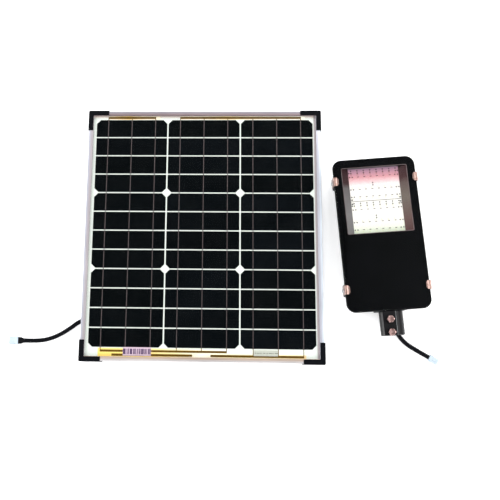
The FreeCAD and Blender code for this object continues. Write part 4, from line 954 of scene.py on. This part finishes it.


# The same enamel with a painted highlight along the ridge: light grey where the ridge catches the
# light.
ridge_highlight_enamel = grained("Black enamel with a painted highlight on the ridge", "#84898C", "#3A3D40", 1.6, 0.1,
                      (0.35, 0.5), 5, (1, 4, 1), LAMP_TURN)
# The ridge takes the painted highlight.
piece("pole_socket_cast", [socket_casting(), raised_line(9.2, RIM_Z + 3.7, -208, -161)], "lamp",
      [cast_enamel, ridge_highlight_enamel], "pole_socket", which=[0, 1], angle=38)


def clamp_bolt(y):
    """A hexagon bolt: a chamfered head with a washer face, and a shank whose radius rises and
    falls by a thread's height once in every 1.25 mm turn."""
    seat, af = RIM_Z + 8, 13.0
    head = turned([(0, 0, 0), (5.9, 0, 0), (6, 0.3, 0), (7.1, 0.5, af), (7.6, 0.9, af),
                   (7.6, 4.2, af), (7, 4.9, af), (6, 5.3, 0), (5.2, 5.3, 0), (4.8, 5.1, 0),
                   (0, 5.1, 0)], (BOLT_X, y, seat), (0, 0, 1), 72)
    low = height_of("clamp_bolt_upper")[0]
    t = np.linspace(0, 1, int((seat - low) / 0.25))[:, None]
    angle = round_angles(24)[None, :]
    z = low + t * (seat + 0.2 - low)
    wave = np.abs(((z / 1.25 - angle / (2 * math.pi)) % 1) * 2 - 1)
    radius = 3.45 + 0.5 * wave - 1.2 * np.clip(1 - t * 18, 0, 1)
    return [head, skin(np.stack([radius * np.cos(angle) + BOLT_X, y + radius * np.sin(angle),
                                 z + 0 * angle], -1))]


for name, y in (("clamp_bolt_upper", -177), ("clamp_bolt_lower", -203)):
    piece(name + "_threaded", clamp_bolt(y), name, [zinc_plate], name, angle=30)

gland = turned([(0, 0, 0), (5.6, 0, 12), (6.6, 0.5, 12), (6.9, 1, 12), (6.9, 4.6, 12),
                (6, 5, 0), (5.5, 5.2, 0), (5.5, 9.5, 0), (5.3, 11.5, 0), (4.6, 13.4, 0),
                (4, 14, 0), (0, 14, 0)], (GLAND_X, -154, GLAND_Z), (0, -1, 0), 60)
thread = turned([(0, 0, 0), (4.9, 0, 0), (4.9, 13.2, 0), (4.4, 13.5, 0), (0, 13.5, 0)],
                (GLAND_X, -154, GLAND_Z), (0, 1, 0), 32)
piece("lamp_gland_moulded", [gland, thread], "lamp", [black_ppe], "lamp_gland", angle=35)


# ------------------------------ behind the lamp's window

BOARD_TOP = height_of("led_board_upper")[1]
COLUMNS, PITCH = 8, 13.3
# White solder mask: glossy white ink, with painted reflection that turns it rosy towards the head's
# top and greenish at its foot.
white_mask = along_lamp("White solder mask", [
    (0, "#CFDBC6"), (0.08, "#DFE5D6"), (0.18, "#E8E6E1"), (0.55, "#E9E6E3"), (0.73, "#E9E4E4"),
    (0.79, "#E0BFC4"), (0.86, "#CB9099"), (0.93, "#BC8A9C"), (1, "#A988A1")], 6,
    Roughness=0.35)
# The moulded package and the phosphor carry the same painted reflection as the board that they sit
# on.
package_white = along_lamp("Moulded white LED package", [
    (0, "#CBD8BF"), (0.18, "#E6E5DC"), (0.73, "#E8E1E1"), (0.8, "#D8AEB3"), (0.86, "#B97A84"),
    (1, "#94708C")], 4, Roughness=0.42)
phosphor = along_lamp("Yellow phosphor silicone", [
    (0, "#D8E2BE"), (0.18, "#F0EBCB"), (0.73, "#F1E8CC"), (0.8, "#E3B9AE"), (0.86, "#C58A86"),
    (1, "#A07A8A")], 2, Roughness=0.3)
column_x = (np.arange(COLUMNS) - (COLUMNS - 1) / 2) * PITCH
chip_body = stacked([(2.8, 3.5, 0.3, 0), (2.8, 3.5, 0.3, 0.62), (2.6, 3.3, 0.25, 0.74),
                     (2.2, 2.9, 0.6, 0.74), (2.1, 2.8, 0.6, 0.6)], steps=2)
chip_fill = stacked([(2.1, 2.8, 0.6, 0.45), (2.1, 2.8, 0.6, 0.66), (1.2, 1.9, 0.5, 0.76)],
                    steps=2)
pad, seam, dash, stud = (
    stacked([(*foot, 0), (*foot, wall), top], steps=steps) for foot, wall, top, steps in (
        ((2.5, 2.3, 0.3), 0.35, (2.1, 1.9, 0.2, 0.5), 1),
        ((104, 0.9, 0.2), 0.2, (103.6, 0.6, 0.15, 0.3), 1),
        ((4, 1.2, 0.2), 0.3, (3.6, 0.9, 0.15, 0.4), 1),
        ((3, 2.8, 1.2), 1.2, (2.2, 2, 0.9, 1.6), 3)))


def rows_of(depths, low, xs=column_x):
    """Places on a board: every given x at every given distance down from its top edge."""
    x, down = np.meshgrid(xs, depths)
    return np.stack([x.ravel(), low + 70.0 - down.ravel(), np.full(x.size, BOARD_TOP)], -1)


for row, low in (("upper", 71.1), ("lower", 0.9)):
    chips = rows_of((12.5, 41, 64), low)
    piece("led_chips_%s_packaged" % row, [repeated(chip_body, chips), repeated(chip_fill, chips)],
          "lamp", [package_white, phosphor], "led_chips_" + row, which=[0, 1])
    dots = np.concatenate([rows_of(*spots) for spots in (
        ((4.2, 9.2), low), ((17.6, 44.6, 60.4), low, (-50, -44.5, 44.5, 50)),
        ((9.2,), low, (-50.8, 50.8)), ((36.8, 31.8), low, (-3.4,)))])
    dashes = np.concatenate([rows_of((down,), low, column_x[1:-1] + off)
                             for down, off in ((17.6, 0.8), (44.6, 1.6), (60.4, 1.2))])
    studs = rows_of((5.2 if row == "lower" else 66.6,), low, (-50, 50))
    marks = [repeated(pad, dots), repeated(dash, dashes), repeated(stud, studs)]
    if row == "lower":
        marks.append(repeated(seam, [(0, WINDOW_Y, BOARD_TOP)]))
    piece("led_board_marks_" + row, marks, "lamp", [black_solder_mask])


paint(white_mask, "led_board_upper", "led_board_lower")
# Satin reflector sheet: mid grey with a fine grain, and painted reflection that turns it brown
# towards the head's top; the right sheet is painted darker and browner than the left all along, as
# painted shade and reflection.
paint(along_lamp("Satin reflector sheet, left", [
    (0, "#706E6F"), (0.3, "#7A787A"), (0.7, "#686466"), (0.77, "#432F32"), (1, "#361E22")],
    1.2, Metallic=0.8, Roughness=0.42), "reflector_left")
paint(along_lamp("Satin reflector sheet, right", [
    (0, "#3A2425"), (0.2, "#483735"), (0.5, "#504944"), (0.72, "#483D3B"), (0.82, "#331E20"),
    (1, "#28171A")], 1.2, Metallic=0.8, Roughness=0.42), "reflector_right")


# ------------------------------ the floor and the sky

floor_mesh = bpy.data.meshes.new("floor")
floor_mesh.from_pydata([(-8, -8, 0), (8, -8, 0), (8, 8, 0), (-8, 8, 0)], [], [(0, 1, 2, 3)])
floor_mesh.materials.append(plain_floor())
placed("floor", floor_mesh)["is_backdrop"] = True
world = bpy.data.worlds.new("soft sky")
world.use_nodes = True
world.node_tree.nodes["Background"].inputs["Color"].default_value = rgb("#F6F8FB")
world.node_tree.nodes["Background"].inputs["Strength"].default_value = 0.22
bpy.context.scene.world = world

low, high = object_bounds()
{"cad": [list(cad_low), list(cad_high)], "visual": [list(low), list(high)]}
